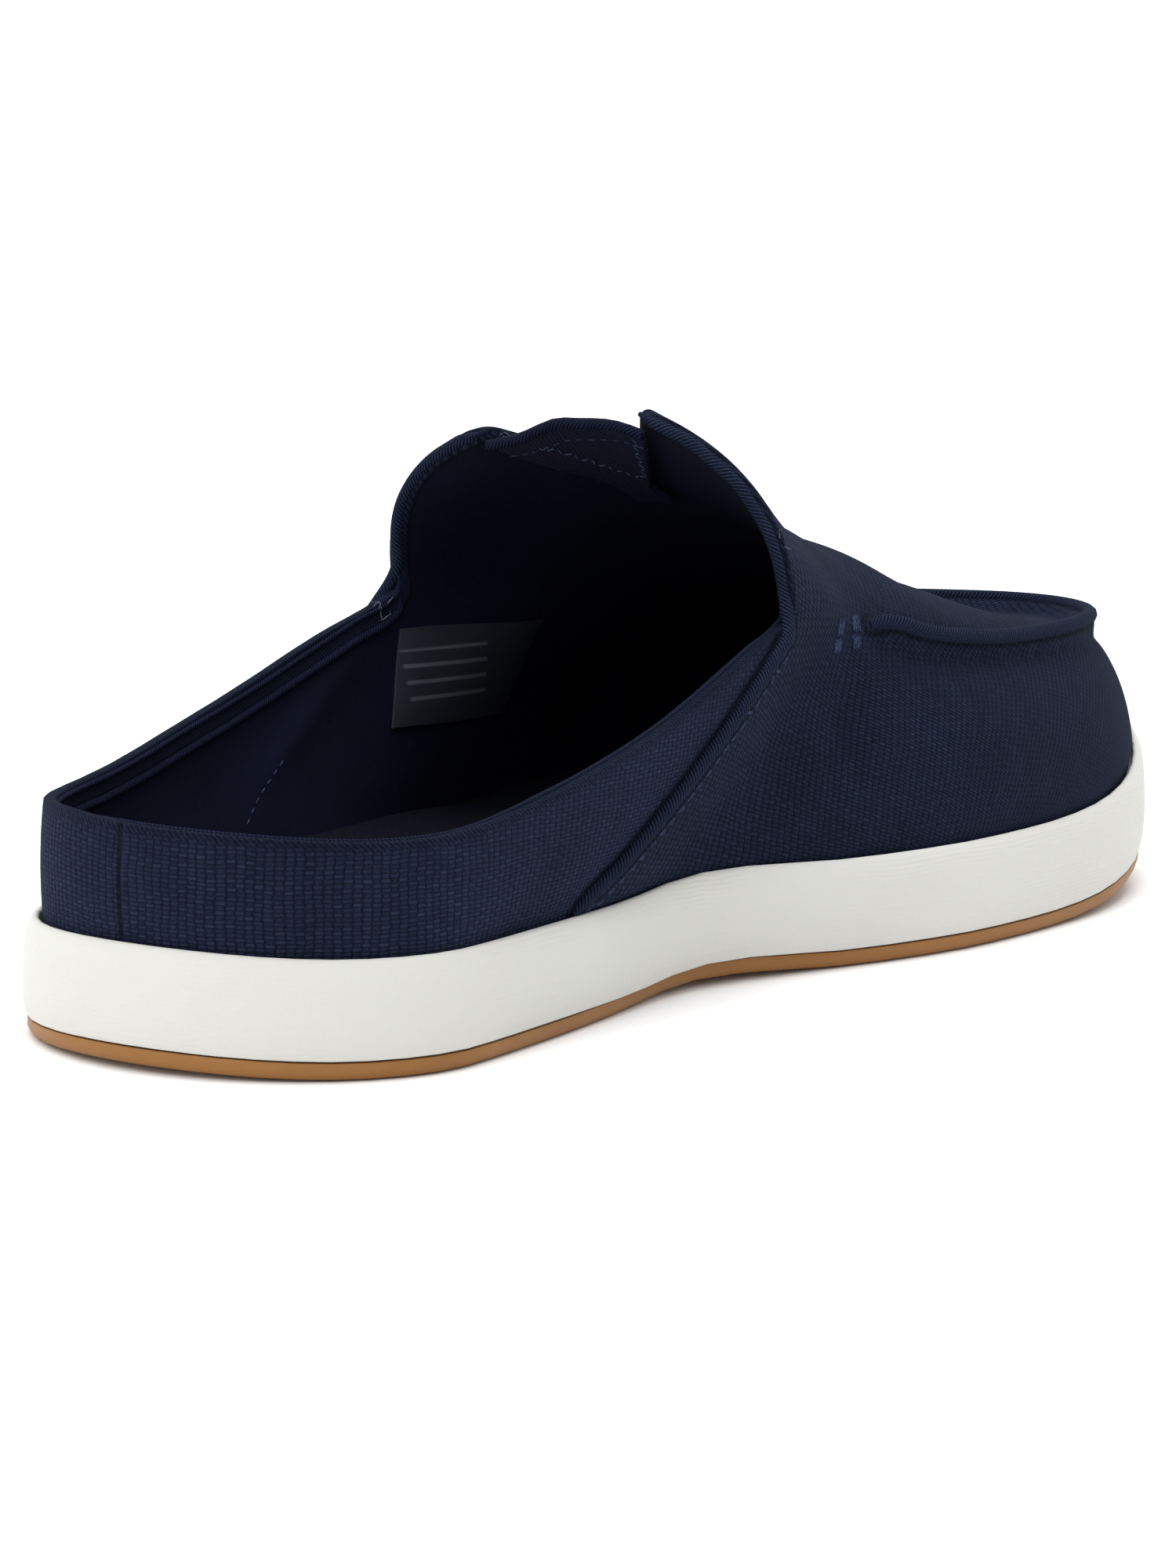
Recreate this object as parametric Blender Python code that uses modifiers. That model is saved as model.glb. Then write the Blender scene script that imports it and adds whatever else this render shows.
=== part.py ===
# A slip-on sneaker mule for the left foot, standing on its sole.
# The heel is at -X and the toe at +X, the inner side of the foot is at -Y, and the floor is z = 0.
import bmesh
import bpy
import math
import numpy as np

MM = 0.001

# Sole, seen from above.
SOLE_LENGTH = 293 * MM
HEEL_WIDTH = 84 * MM
BALL_WIDTH = 109 * MM
HEEL_ROUNDING = 38 * MM
TOE_ROUNDING = 78 * MM

# Sole, seen from the side.
OUTSOLE_THICKNESS = 3.0 * MM
MIDSOLE_HEIGHT = 16.2 * MM
TOE_SPRING = 11.0 * MM
ARCH_LIFT = 1.2 * MM
HEEL_BEVEL = 1.0 * MM
OUTSOLE_SETBACK = 0.9 * MM
WAIST_SETBACK = 1.3 * MM
RIM_WIDTH = 2.8 * MM
RIM_LIP = 3.0 * MM

# Flex grooves under the outsole.
GROOVE_DEPTH = 1.0 * MM
GROOVE_WIDTH = 2.2 * MM
GROOVE_PITCH = 13.0 * MM
GROOVE_MARGIN = 11.0 * MM
HEEL_GROOVES = 4
FOREFOOT_GROOVES = 6

# Upper.
INSTEP_RISE = 76.8 * MM
UPPER_WALL = 2.2 * MM
OVERLAY_STEP = 1.4 * MM
FRONT_STEP = 0.6 * MM
OVERLAY_EDGE = 0.7 * MM
WALL_ABOVE_RIM = 0.2 * MM
BEAD_HEIGHT = 3.0 * MM
BEAD_HALF_WIDTH = 2.2 * MM
BEAD_CREASE = 0.5 * MM
NOTCH_HALF_WIDTH = 14.6 * MM
WING_CORNER = 4.0 * MM

# Pieces inside the upper.
INSOLE_THICKNESS = 4.5 * MM
INSOLE_CUP = 1.6 * MM
INSOLE_GAP = 0.6 * MM
INSOLE_DRAFT = 0.5 * MM
INSOLE_BEVEL = 1.9 * MM
INSOLE_CUP_START = 6.0 * MM
INSOLE_CUP_END = 13.0 * MM
GORE_THICKNESS = 1.2 * MM
GORE_MARGIN = 4.0 * MM
GORE_GAP = 0.9 * MM
GORE_SWELL = 0.9 * MM
LABEL_LENGTH = 38.0 * MM
LABEL_HEIGHT = 17.0 * MM
LABEL_THICKNESS = 0.5 * MM
LABEL_LEAN = 8.0 * MM
LABEL_RISE = 17.5 * MM
LABEL_STATION = 0.425
GAP = 0.3 * MM
WALL_GAP = 0.4 * MM

# Outline of the midsole at its widest: station along the sole from heel to toe, then the inner and
# the outer half as shares of the width there, which goes from the heel's to the ball's.
OUTLINE = np.array([
    (0.00, 0.488, 0.488),
    (0.12, 0.502, 0.494),
    (0.22, 0.479, 0.490),
    (0.30, 0.452, 0.486),
    (0.39, 0.409, 0.459),
    (0.46, 0.430, 0.451),
    (0.54, 0.464, 0.457),
    (0.62, 0.495, 0.482),
    (0.69, 0.506, 0.495),
    (0.76, 0.505, 0.479),
    (0.84, 0.492, 0.435),
    (0.92, 0.472, 0.375),
    (1.00, 0.459, 0.305),
])
WIDTH_GROWS_FROM = 0.30
WIDTH_GROWS_TO = 0.62

# Height of the midsole's side along the sole, as a share of MIDSOLE_HEIGHT.
SIDE_HEIGHT = np.array([(0.0, 1.01), (0.37, 1.0), (0.68, 1.04), (1.0, 1.11)])

# Side of the midsole from its foot to its rim: inset as a share of RIM_WIDTH, height as a share
# of the side.
MIDSOLE_SIDE = (
    (0.24, 0.0),
    (0.05, 0.16),
    (0.0, 0.38),
    (0.12, 0.72),
    (0.30, 0.90),
    (0.55, 0.98),
    (0.80, 1.0),
)

# Side of the outsole from its foot up: inset and height as shares of OUTSOLE_THICKNESS.
OUTSOLE_SIDE = ((0.62, 0.0), (0.2, 0.14), (0.0, 0.5), (0.0, 1.0))

# Shoulder line of the upper: the collar's topline from the heel to the wings, then the moc seam to the toe.
# Station along the sole, inner and outer offset as shares of BALL_WIDTH, inner and outer rise above
# the rim as shares of INSTEP_RISE, and the station of the wall's foot below that point.
COLLAR = np.array([
    (0.010, 0.349, 0.349, 0.245, 0.245, 0.000),
    (0.120, 0.364, 0.362, 0.237, 0.237, 0.080),
    (0.240, 0.386, 0.405, 0.318, 0.312, 0.145),
    (0.340, 0.385, 0.424, 0.413, 0.400, 0.195),
    (0.400, 0.374, 0.424, 0.478, 0.458, 0.220),
    (0.459, 0.361, 0.420, 0.549, 0.540, 0.245),
])
SEAM = np.array([
    (0.459, 0.361, 0.420, 0.549, 0.540, 0.245),
    (0.520, 0.333, 0.392, 0.530, 0.535, 0.372),
    (0.575, 0.303, 0.358, 0.501, 0.510, 0.478),
    (0.640, 0.330, 0.350, 0.432, 0.455, 0.580),
    (0.700, 0.349, 0.338, 0.401, 0.420, 0.665),
    (0.770, 0.349, 0.304, 0.376, 0.390, 0.752),
    (0.850, 0.335, 0.245, 0.345, 0.345, 0.845),
    (0.946, 0.305, 0.145, 0.270, 0.270, 1.000),
])
SHOULDER_BACK = 0.010
WING_STATION = 0.459
SEAM_END = 0.575
SHOULDER_TIP = 0.946
TOPLINE_ROUNDING = 37 * MM
SEAM_ROUNDING = 46 * MM

# Bend of the wall between its foot and the shoulder line: shoulder station, bulge as a share of RIM_WIDTH,
# share of the lean that is done by the bend, and height of the bend.
WALL_BEND = np.array([
    (0.010, 0.45, 0.50, 0.50),
    (0.240, 0.30, 0.60, 0.50),
    (0.459, 0.30, 0.90, 0.50),
    (0.575, 0.50, 0.50, 0.62),
    (0.700, 0.60, 0.12, 0.74),
    (0.850, 0.20, 0.16, 0.68),
    (0.946, 0.00, 0.24, 0.62),
])

# Crown of the vamp: shoulder station, station on the crown, crown's offset to the outer side as a share of
# BALL_WIDTH, rise above the rim and drop of the outer side below it as shares of INSTEP_RISE,
# roundness (1 an ellipse, 2 a parabola), and swell of the inner and the outer side half way up as
# shares of BALL_WIDTH.
CROWN = np.array([
    (0.459, 0.4430, 0.050, 1.040, 0.055, 0.92, 0.010, 0.040),
    (0.505, 0.4950, 0.034, 0.906, 0.020, 1.05, 0.004, 0.018),
    (0.575, 0.5700, 0.010, 0.770, 0.000, 1.40, 0.000, 0.000),
    (0.625, 0.6200, -0.008, 0.700, 0.000, 1.65, 0.000, 0.000),
    (0.695, 0.6900, -0.022, 0.600, 0.000, 1.80, 0.000, 0.000),
    (0.755, 0.7500, -0.038, 0.510, 0.000, 1.90, 0.000, 0.000),
    (0.815, 0.8080, -0.052, 0.422, 0.000, 1.95, 0.000, 0.000),
    (0.880, 0.8660, -0.066, 0.345, 0.000, 2.00, 0.000, 0.000),
    (0.946, 0.9100, -0.078, 0.296, 0.000, 2.00, 0.000, 0.000),
])
NOTCH_APEX = 0.514

# Grid of the upper.
COLLAR_COLUMNS = 15
FRONT_COLUMNS = 29
FRONT_CROWDING = 1.4
WALL_ROWS = (0.20, 0.40, 0.60, 0.80)
CROWN_ROWS = (0.12, 0.27, 0.42, 0.57, 0.71, 0.83, 0.92, 1.0)
SOLE_COLUMNS = 44
FOOT_ROWS = 3
BEAD_STEPS = [2.4 * BEAD_HALF_WIDTH, 1.45 * BEAD_HALF_WIDTH, BEAD_HALF_WIDTH, 0.5 * BEAD_HALF_WIDTH, 0.0]
BEAD_LIFTS = [0.0, -BEAD_CREASE, 0.35 * BEAD_HEIGHT, 0.88 * BEAD_HEIGHT, BEAD_HEIGHT]


def along(table, column, station):
    """A column of a table at a station, on a smooth curve through the rows."""
    stations, values = table[:, 0], table[:, column]
    slopes = np.gradient(values, stations)
    at = np.clip(station, stations[0], stations[-1])
    row = np.clip(np.searchsorted(stations, at) - 1, 0, len(stations) - 2)
    span = stations[row + 1] - stations[row]
    k = (at - stations[row]) / span
    start = (1 + 2 * k) * (1 - k) ** 2 * values[row] + k * (1 - k) ** 2 * span * slopes[row]
    end = k**2 * (3 - 2 * k) * values[row + 1] - k**2 * (1 - k) * span * slopes[row + 1]
    return start + end


def ease(k):
    k = np.clip(k, 0, 1)
    return k * k * (3 - 2 * k)


def turn_of(station, back=0.0, tip=1.0):
    """Where a station lies on a side's half turn, from 0 at the back to 1 at the tip."""
    return np.arccos(np.clip(1 - 2 * (station - back) / (tip - back), -1, 1)) / math.pi


def rounding(from_back, from_tip, back_length, tip_length):
    """Share of the full width near the two rounded ends of an outline."""
    back = 1 - np.clip(1 - from_back / back_length, 0, 1) ** 2
    tip = 1 - np.clip(1 - from_tip / tip_length, 0, 1) ** 2.3
    return np.clip(back, 0, 1) ** 0.5 * np.clip(tip, 0, 1) ** 0.476


def closed_curve(side_of, turn):
    """Points of a closed outline: turn runs 0 to 1 up the inner side and 1 to 2 back down the outer."""
    turn = np.mod(turn, 2.0)
    inner = turn <= 1
    return side_of(np.where(inner, turn, 2 - turn), np.where(inner, -1.0, 1.0))


def outward(side_of, turn):
    """Unit normal of a closed outline, pointing away from the shoe."""
    step = 0.004
    along_edge = closed_curve(side_of, turn + step) - closed_curve(side_of, turn - step)
    normal = np.stack([along_edge[..., 1], -along_edge[..., 0]], -1)
    return normal / np.linalg.norm(normal, axis=-1, keepdims=True)


def sole_side(turn, side):
    """Widest outline of the midsole."""
    station = (1 - np.cos(math.pi * turn)) / 2
    grown = ease((station - WIDTH_GROWS_FROM) / (WIDTH_GROWS_TO - WIDTH_GROWS_FROM))
    width = HEEL_WIDTH + (BALL_WIDTH - HEEL_WIDTH) * grown
    inner = along(OUTLINE, 1, station) * width
    outer = along(OUTLINE, 2, station) * width
    x = station * SOLE_LENGTH
    full = rounding(x, SOLE_LENGTH - x, HEEL_ROUNDING, TOE_ROUNDING)
    return np.stack([x, (outer - inner) / 2 + side * full * (outer + inner) / 2], -1)


def along_shoulder(column, station):
    return np.where(station < WING_STATION, along(COLLAR, column, station), along(SEAM, column, station))


def shoulder_side(turn, side):
    """Topline and moc seam, seen from above."""
    station = SHOULDER_BACK + (SHOULDER_TIP - SHOULDER_BACK) * (1 - np.cos(math.pi * turn)) / 2
    inner = along_shoulder(1, station) * BALL_WIDTH
    outer = along_shoulder(2, station) * BALL_WIDTH
    x = station * SOLE_LENGTH
    from_back = x - SHOULDER_BACK * SOLE_LENGTH
    from_tip = SHOULDER_TIP * SOLE_LENGTH - x
    full = rounding(from_back, from_tip, TOPLINE_ROUNDING, SEAM_ROUNDING)
    return np.stack([x, (outer - inner) / 2 + side * full * (outer + inner) / 2], -1)


def sole_edge(turn, inset):
    """Outline of the sole, drawn in from its widest line."""
    return closed_curve(sole_side, turn) - outward(sole_side, turn) * np.asarray(inset)[..., None]


def bottom_height(station):
    """Underside of the sole above the floor."""
    spring = TOE_SPRING * np.clip((station - 0.68) / 0.32, 0, None) ** 2
    arch = ARCH_LIFT * np.sin(math.pi * np.clip((station - 0.30) / 0.22, 0, 1)) ** 2
    bevel = HEEL_BEVEL * np.clip(1 - station / 0.06, 0, None) ** 2
    return spring + arch + bevel


def rim_height(station):
    """Top of the midsole's rim above the floor."""
    side = MIDSOLE_HEIGHT * along(SIDE_HEIGHT, 1, station)
    return bottom_height(station) + OUTSOLE_THICKNESS + side


def deck_height(station):
    return rim_height(station) - RIM_LIP


# The shoe is built with the heel's back at x = 0, and then moved so that the sole's box is centred
# on the origin.
dense = closed_curve(sole_side, np.linspace(0, 2, 2001))
BOX_CENTRE = (dense.min(axis=0) + dense.max(axis=0)) / 2


def placed(points):
    return np.asarray(points, float) - np.array([BOX_CENTRE[0], BOX_CENTRE[1], 0.0])


def add_mesh(name, points, faces, collection):
    mesh = bpy.data.meshes.new(name)
    mesh.from_pydata([tuple(p) for p in placed(points)], [], faces)
    mesh.update()
    thing = bpy.data.objects.new(name, mesh)
    collection.objects.link(thing)
    return thing


def give_material(thing, colour, roughness):
    material = bpy.data.materials.new(thing.name)
    material.use_nodes = True
    shader = material.node_tree.nodes["Principled BSDF"]
    shader.inputs["Base Color"].default_value = (*colour, 1.0)
    shader.inputs["Roughness"].default_value = roughness
    shader.inputs["Metallic"].default_value = 0.0
    thing.data.materials.append(material)
    thing.data.shade_smooth()
    thing.data.set_sharp_from_angle(angle=math.radians(40))


def stacked_rings(name, rings, collection):
    """A solid between rings of an outline, each an inset and a height, closed by rungs across."""
    turn = np.linspace(0, 2, 2 * SOLE_COLUMNS + 1)[:-1]
    count = len(turn)
    station = (1 - np.cos(math.pi * turn)) / 2
    points = []
    for inset, height in rings:
        edge = sole_edge(turn, inset(station) * np.ones(count))
        points.append(np.column_stack([edge, height(station)]))
    faces = []
    for ring in range(len(rings) - 1):
        for k in range(count):
            a, b = ring * count + k, ring * count + (k + 1) % count
            faces.append((a, b, b + count, a + count))
    for ring, flip in ((0, True), (len(rings) - 1, False)):
        first = ring * count
        for k in range(SOLE_COLUMNS):
            rung = [first + k, first + k + 1, first + (count - k - 1) % count, first + (count - k) % count]
            corners = list(dict.fromkeys(rung))
            faces.append(tuple(reversed(corners)) if flip else tuple(corners))
    return add_mesh(name, np.vstack(points), faces, collection)


def waist(station):
    """1 at the waist of the sole, and 0 at the heel and the ball."""
    return np.sin(math.pi * np.clip((station - 0.20) / 0.36, 0, 1)) ** 2


def make_outsole(collection):
    def side_inset(station):
        return OUTSOLE_SETBACK + WAIST_SETBACK * waist(station)

    def ring(extra, share):
        return (lambda s: side_inset(s) + extra * OUTSOLE_THICKNESS,
                lambda s: bottom_height(s) + share * OUTSOLE_THICKNESS)

    rings = [ring(*row) for row in OUTSOLE_SIDE]
    outsole = stacked_rings("outsole", rings, collection)
    cutters = bpy.data.collections.new("cutters")
    bpy.context.scene.collection.children.link(cutters)
    starts = [(0.075 * SOLE_LENGTH, HEEL_GROOVES), (0.535 * SOLE_LENGTH, FOREFOOT_GROOVES)]
    builder = bmesh.new()
    for start, number in starts:
        for k in range(number):
            x = start + k * GROOVE_PITCH
            turn = turn_of(x / SOLE_LENGTH)
            inner = sole_side(turn, -1.0)[1] + GROOVE_MARGIN
            outer = sole_side(turn, 1.0)[1] - GROOVE_MARGIN
            floor = float(bottom_height(x / SOLE_LENGTH))
            cube = bmesh.ops.create_cube(builder, size=1.0)["verts"]
            bmesh.ops.scale(builder, vec=(GROOVE_WIDTH, outer - inner, 2 * GROOVE_DEPTH), verts=cube)
            middle = placed([(x, (inner + outer) / 2, floor)])[0]
            bmesh.ops.translate(builder, vec=tuple(middle), verts=cube)
    mesh = bpy.data.meshes.new("groove_cutter")
    builder.to_mesh(mesh)
    builder.free()
    cutter = bpy.data.objects.new("groove_cutter", mesh)
    cutter.hide_render = True
    cutter.display_type = "WIRE"
    cutters.objects.link(cutter)
    cut = outsole.modifiers.new("grooves", "BOOLEAN")
    cut.operation = "DIFFERENCE"
    cut.solver = "EXACT"
    cut.object = cutter
    give_material(outsole, (0.36, 0.17, 0.045), 0.55)
    return outsole


def make_midsole(collection):
    def ring(inset_share, height_share):
        def height(station):
            foot = bottom_height(station) + OUTSOLE_THICKNESS + GAP
            return foot + (rim_height(station) - foot) * height_share
        return lambda s: RIM_WIDTH * inset_share + 0 * s, height

    rings = [ring(*row) for row in MIDSOLE_SIDE]
    rings.append((lambda s: RIM_WIDTH + 0 * s, lambda s: rim_height(s) - 0.12 * RIM_LIP))
    rings.append((lambda s: RIM_WIDTH + 0 * s, deck_height))
    midsole = stacked_rings("midsole", rings, collection)
    give_material(midsole, (0.80, 0.80, 0.76), 0.6)
    return midsole


def make_insole(collection):
    edge = RIM_WIDTH + WALL_GAP + UPPER_WALL + INSOLE_GAP

    def ring(extra, lift, cup):
        def height(station):
            hollow = INSOLE_CUP * cup * (1 - ease((station - 0.30) / 0.25))
            return deck_height(station) + GAP + lift + hollow
        return lambda s: edge + extra + 0 * s, height

    rings = [
        ring(0.0, 0.0, 0.0),
        ring(0.0, 0.45 * INSOLE_THICKNESS, 0.5),
        ring(INSOLE_DRAFT, 0.8 * INSOLE_THICKNESS, 1.0),
        ring(INSOLE_BEVEL, INSOLE_THICKNESS, 1.0),
        ring(INSOLE_CUP_START, INSOLE_THICKNESS, 0.45),
        ring(INSOLE_CUP_END, INSOLE_THICKNESS, 0.0),
    ]
    insole = stacked_rings("insole", rings, collection)
    give_material(insole, (0.012, 0.018, 0.045), 0.9)
    return insole


def wall_foot(turn):
    """Foot of the upper's outer face, on the deck inside the rim."""
    inner = np.mod(turn, 2) <= 1
    half = np.where(inner, np.mod(turn, 2), 2 - np.mod(turn, 2))
    station = SHOULDER_BACK + (SHOULDER_TIP - SHOULDER_BACK) * (1 - np.cos(math.pi * half)) / 2
    foot_turn = turn_of(along_shoulder(5, station))
    closed_turn = np.where(inner, foot_turn, 2 - foot_turn)
    edge = sole_edge(closed_turn, (RIM_WIDTH + WALL_GAP) * np.ones(len(closed_turn)))
    height = deck_height((1 - np.cos(math.pi * foot_turn)) / 2) + GAP
    return np.column_stack([edge, height]), outward(sole_side, closed_turn)


def shoulder_points(turn):
    edge = closed_curve(shoulder_side, turn)
    station = edge[:, 0] / SOLE_LENGTH
    column = np.where(np.mod(turn, 2) <= 1, along_shoulder(3, station), along_shoulder(4, station))
    return np.column_stack([edge, rim_height(station) + INSTEP_RISE * column]), station


def spread(curve, lengths):
    """Points on a polyline at given lengths from its start."""
    steps = np.concatenate([[0], np.cumsum(np.linalg.norm(np.diff(curve, axis=0), axis=1))])
    return np.column_stack([np.interp(lengths, steps, curve[:, k]) for k in range(3)]), steps[-1]


def wall_column(foot, normal, shoulder, station, rows):
    """A column of the wall, from the deck to the shoulder line."""
    rise = RIM_LIP - GAP + WALL_ABOVE_RIM
    foot_rows = np.array([foot, foot + [0, 0, rise]])
    foot = foot_rows[1]
    bulge = along(WALL_BEND, 1, station) * RIM_WIDTH
    lean = along(WALL_BEND, 2, station)
    height = along(WALL_BEND, 3, station)
    run = shoulder[:2] - foot[:2]
    out = run @ normal
    bend = foot[:2] + 0.5 * (run - out * normal) + normal * (bulge + lean * out)
    bend = np.array([*bend, foot[2] + height * (shoulder[2] - foot[2])])
    k = np.linspace(0, 1, 41)[:, None]
    curve = (1 - k) ** 2 * foot + 2 * k * (1 - k) * bend + k**2 * shoulder
    _, length = spread(curve, [0.0])
    near = np.array(BEAD_STEPS)
    free = length - near[0] - OVERLAY_EDGE
    lengths = np.concatenate([[OVERLAY_EDGE], OVERLAY_EDGE + np.array(rows) * free, length - near])
    return np.vstack([foot_rows, spread(curve, lengths)[0]])


def crown_point(station):
    """Crown of the vamp for a shoulder station."""
    at = along(CROWN, 1, station)
    y = along(CROWN, 2, station) * BALL_WIDTH
    return np.array([at * SOLE_LENGTH, y, rim_height(at) + INSTEP_RISE * along(CROWN, 3, station)])


def notch_half_width(x):
    start = CROWN[0, 1] * SOLE_LENGTH
    end = NOTCH_APEX * SOLE_LENGTH
    return NOTCH_HALF_WIDTH * np.clip((end - x) / (end - start), 0, 1) ** 0.9


def outer_drop(station, x):
    """How much lower the outer wing is than the inner one."""
    return INSTEP_RISE * along(CROWN, 4, station) * ease(1.5 * notch_half_width(x) / NOTCH_HALF_WIDTH)


def crown_curve(shoulder, station, side, reach=None):
    """Half a section of the vamp, from the shoulder line to the crown or the notch."""
    crown = crown_point(station)
    if side > 0:
        crown[2] -= outer_drop(station, crown[0])
    roundness = along(CROWN, 5, station)
    half = abs(shoulder[1] - crown[1])
    stop = notch_half_width(crown[0]) if reach is None else reach
    last = math.acos(min(1.0, max(0.0, stop / half)))
    angle = np.linspace(0, last, 61)
    swell = BALL_WIDTH * along(CROWN, 6 if side < 0 else 7, station)
    y = crown[1] + side * (half * np.cos(angle) + swell * np.sin(2 * angle))
    z = shoulder[2] + (crown[2] - shoulder[2]) * np.sin(angle) ** roundness
    x = shoulder[0] + (crown[0] - shoulder[0]) * np.sin(angle) ** 2
    return np.column_stack([x, y, z])


def crown_column(shoulder, station, side):
    curve = crown_curve(shoulder, station, side)
    _, length = spread(curve, [0.0])
    near = np.array(BEAD_STEPS[::-1][1:])
    lengths = np.concatenate([near, near[-1] + np.array(CROWN_ROWS) * (length - near[-1])])
    points = spread(curve, lengths)[0]
    # The wing's corner is rounded, and the columns behind it follow.
    to_corner = np.clip(1 - (length - lengths) / WING_CORNER, 0, 1)
    behind = 1 - ease((station - WING_STATION) / 0.05)
    points[:, 0] += 0.6 * WING_CORNER * to_corner**2 * behind
    return points


def grid_normals(points, faces):
    mesh = bpy.data.meshes.new("scratch")
    mesh.from_pydata([tuple(p) for p in points], [], faces)
    mesh.update()
    normals = np.empty(len(points) * 3)
    mesh.vertices.foreach_get("normal", normals)
    bpy.data.meshes.remove(mesh)
    return normals.reshape(-1, 3)


def upper_grid():
    """The upper's outer face before its seams are raised: points, faces, and each point's column."""
    wing_turn = float(turn_of(WING_STATION, SHOULDER_BACK, SHOULDER_TIP))
    edge_step = OVERLAY_EDGE / (SOLE_LENGTH * 1.2)
    collar = np.linspace(0, wing_turn - edge_step, COLLAR_COLUMNS + 1)
    front = wing_turn + (1 - wing_turn) * np.linspace(0, 1, FRONT_COLUMNS + 1) ** FRONT_CROWDING
    half_turns = np.concatenate([collar, front])
    turns = np.concatenate([half_turns, 2 - half_turns[-2:0:-1]])
    feet, normals = wall_foot(turns)
    shoulders, stations = shoulder_points(turns)
    rows = FOOT_ROWS + len(WALL_ROWS) + len(BEAD_STEPS)
    points, lifts = [], []
    for k in range(len(turns)):
        column = wall_column(feet[k], normals[k], shoulders[k], stations[k], WALL_ROWS)
        points.extend(column)
        lifts.extend([(k, row - FOOT_ROWS - len(WALL_ROWS)) for row in range(rows)])
    faces = []
    count = len(turns)
    for k in range(count):
        beside = (k + 1) % count
        for row in range(rows - 1):
            a, b = k * rows + row, beside * rows + row
            faces.append((a, b, b + 1, a + 1))
    # The crown: columns on both sides from the wing to the toe, sharing their last points past the notch.
    first_front = len(collar)
    tip = first_front + FRONT_COLUMNS
    crown_rows = len(BEAD_STEPS) - 1 + len(CROWN_ROWS)
    chains = {}
    joined = {}
    for offset in range(FRONT_COLUMNS + 1):
        inner = first_front + offset
        outer = (2 * tip - inner) % count
        for k, side in ((inner, -1.0), (outer, 1.0)):
            if k in chains:
                continue
            column = crown_column(shoulders[k], stations[k], side)
            if k == tip:
                column = tip_column(shoulders[k])
            chain = [k * rows + rows - 1]
            for row in range(crown_rows):
                if row == crown_rows - 1 and offset in joined:
                    chain.append(joined[offset])
                    continue
                points.append(column[row])
                lifts.append((k, len(BEAD_STEPS) + row))
                chain.append(len(points) - 1)
            past_notch = crown_point(stations[k])[0] >= NOTCH_APEX * SOLE_LENGTH
            if past_notch:
                joined[offset] = chain[-1]
            chains[k] = chain
    for offset in range(FRONT_COLUMNS):
        inner = first_front + offset
        outer = (2 * tip - inner) % count
        for a, b, flip in ((inner, inner + 1, False), (outer, (2 * tip - inner - 1) % count, True)):
            for row in range(crown_rows):
                corners = [chains[a][row], chains[b][row], chains[b][row + 1], chains[a][row + 1]]
                corners = list(dict.fromkeys(corners))
                if len(corners) > 2:
                    faces.append(tuple(reversed(corners)) if flip else tuple(corners))
    return np.array(points), faces, lifts, stations, turns


def tip_column(shoulder):
    """The column from the seam's tip back to the front end of the crown."""
    end = crown_point(SHOULDER_TIP)
    k = np.linspace(0, 1, 41)[:, None]
    curve = shoulder + (end - shoulder) * k
    curve[:, 2] = shoulder[2] + (end[2] - shoulder[2]) * (1 - (1 - k[:, 0]) ** 2)
    _, length = spread(curve, [0.0])
    near = np.array(BEAD_STEPS[::-1][1:]) * min(1.0, 0.6 * length / BEAD_STEPS[0])
    lengths = np.concatenate([near, near[-1] + np.array(CROWN_ROWS) * (length - near[-1])])
    return spread(curve, lengths)[0]


def raised(points, lifts, stations, turns, normals):
    """How far each point of the outer face stands out: the overlay's step and the moc seam's bead."""
    moves = np.zeros_like(points)
    shoulder_out = outward(shoulder_side, turns)
    for index, (column, row) in enumerate(lifts):
        station = stations[column]
        above_rim = row >= 2 - FOOT_ROWS - len(WALL_ROWS)
        if station >= WING_STATION - 1e-6 and above_rim:
            fade = max(ease((station - WING_STATION) / 0.07), ease(row / (len(BEAD_STEPS) + 2)))
            step = OVERLAY_STEP + (FRONT_STEP - OVERLAY_STEP) * fade
            moves[index] += normals[index] * step
        seam = ease((station - SEAM_END) / 0.03)
        if seam > 0 and row >= 0:
            step = row if row < len(BEAD_STEPS) else 2 * len(BEAD_STEPS) - 2 - row
            if step >= 0:
                up = np.array([*(0.55 * shoulder_out[column]), 0.84])
                moves[index] += up * BEAD_LIFTS[step] * seam
    return moves


def make_upper(collection):
    points, faces, lifts, stations, turns = upper_grid()
    normals = grid_normals(points, faces)
    shell = add_mesh("upper_shell", points, faces, collection)
    wall = shell.modifiers.new("wall", "SOLIDIFY")
    wall.thickness = UPPER_WALL
    wall.offset = -1.0
    wall.use_even_offset = True
    bpy.context.view_layer.update()
    graph = bpy.context.evaluated_depsgraph_get()
    mesh = bpy.data.meshes.new_from_object(shell.evaluated_get(graph))
    mesh.name = "upper"
    # Solidify keeps the outer face's points first, so the raised seams move only those.
    moves = raised(points, lifts, stations, turns, normals)
    for index, move in enumerate(moves):
        mesh.vertices[index].co = mesh.vertices[index].co + type(mesh.vertices[index].co)(move)
    bpy.data.objects.remove(shell)
    upper = bpy.data.objects.new("upper", mesh)
    collection.objects.link(upper)
    give_material(upper, (0.014, 0.022, 0.055), 0.9)
    return upper


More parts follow.
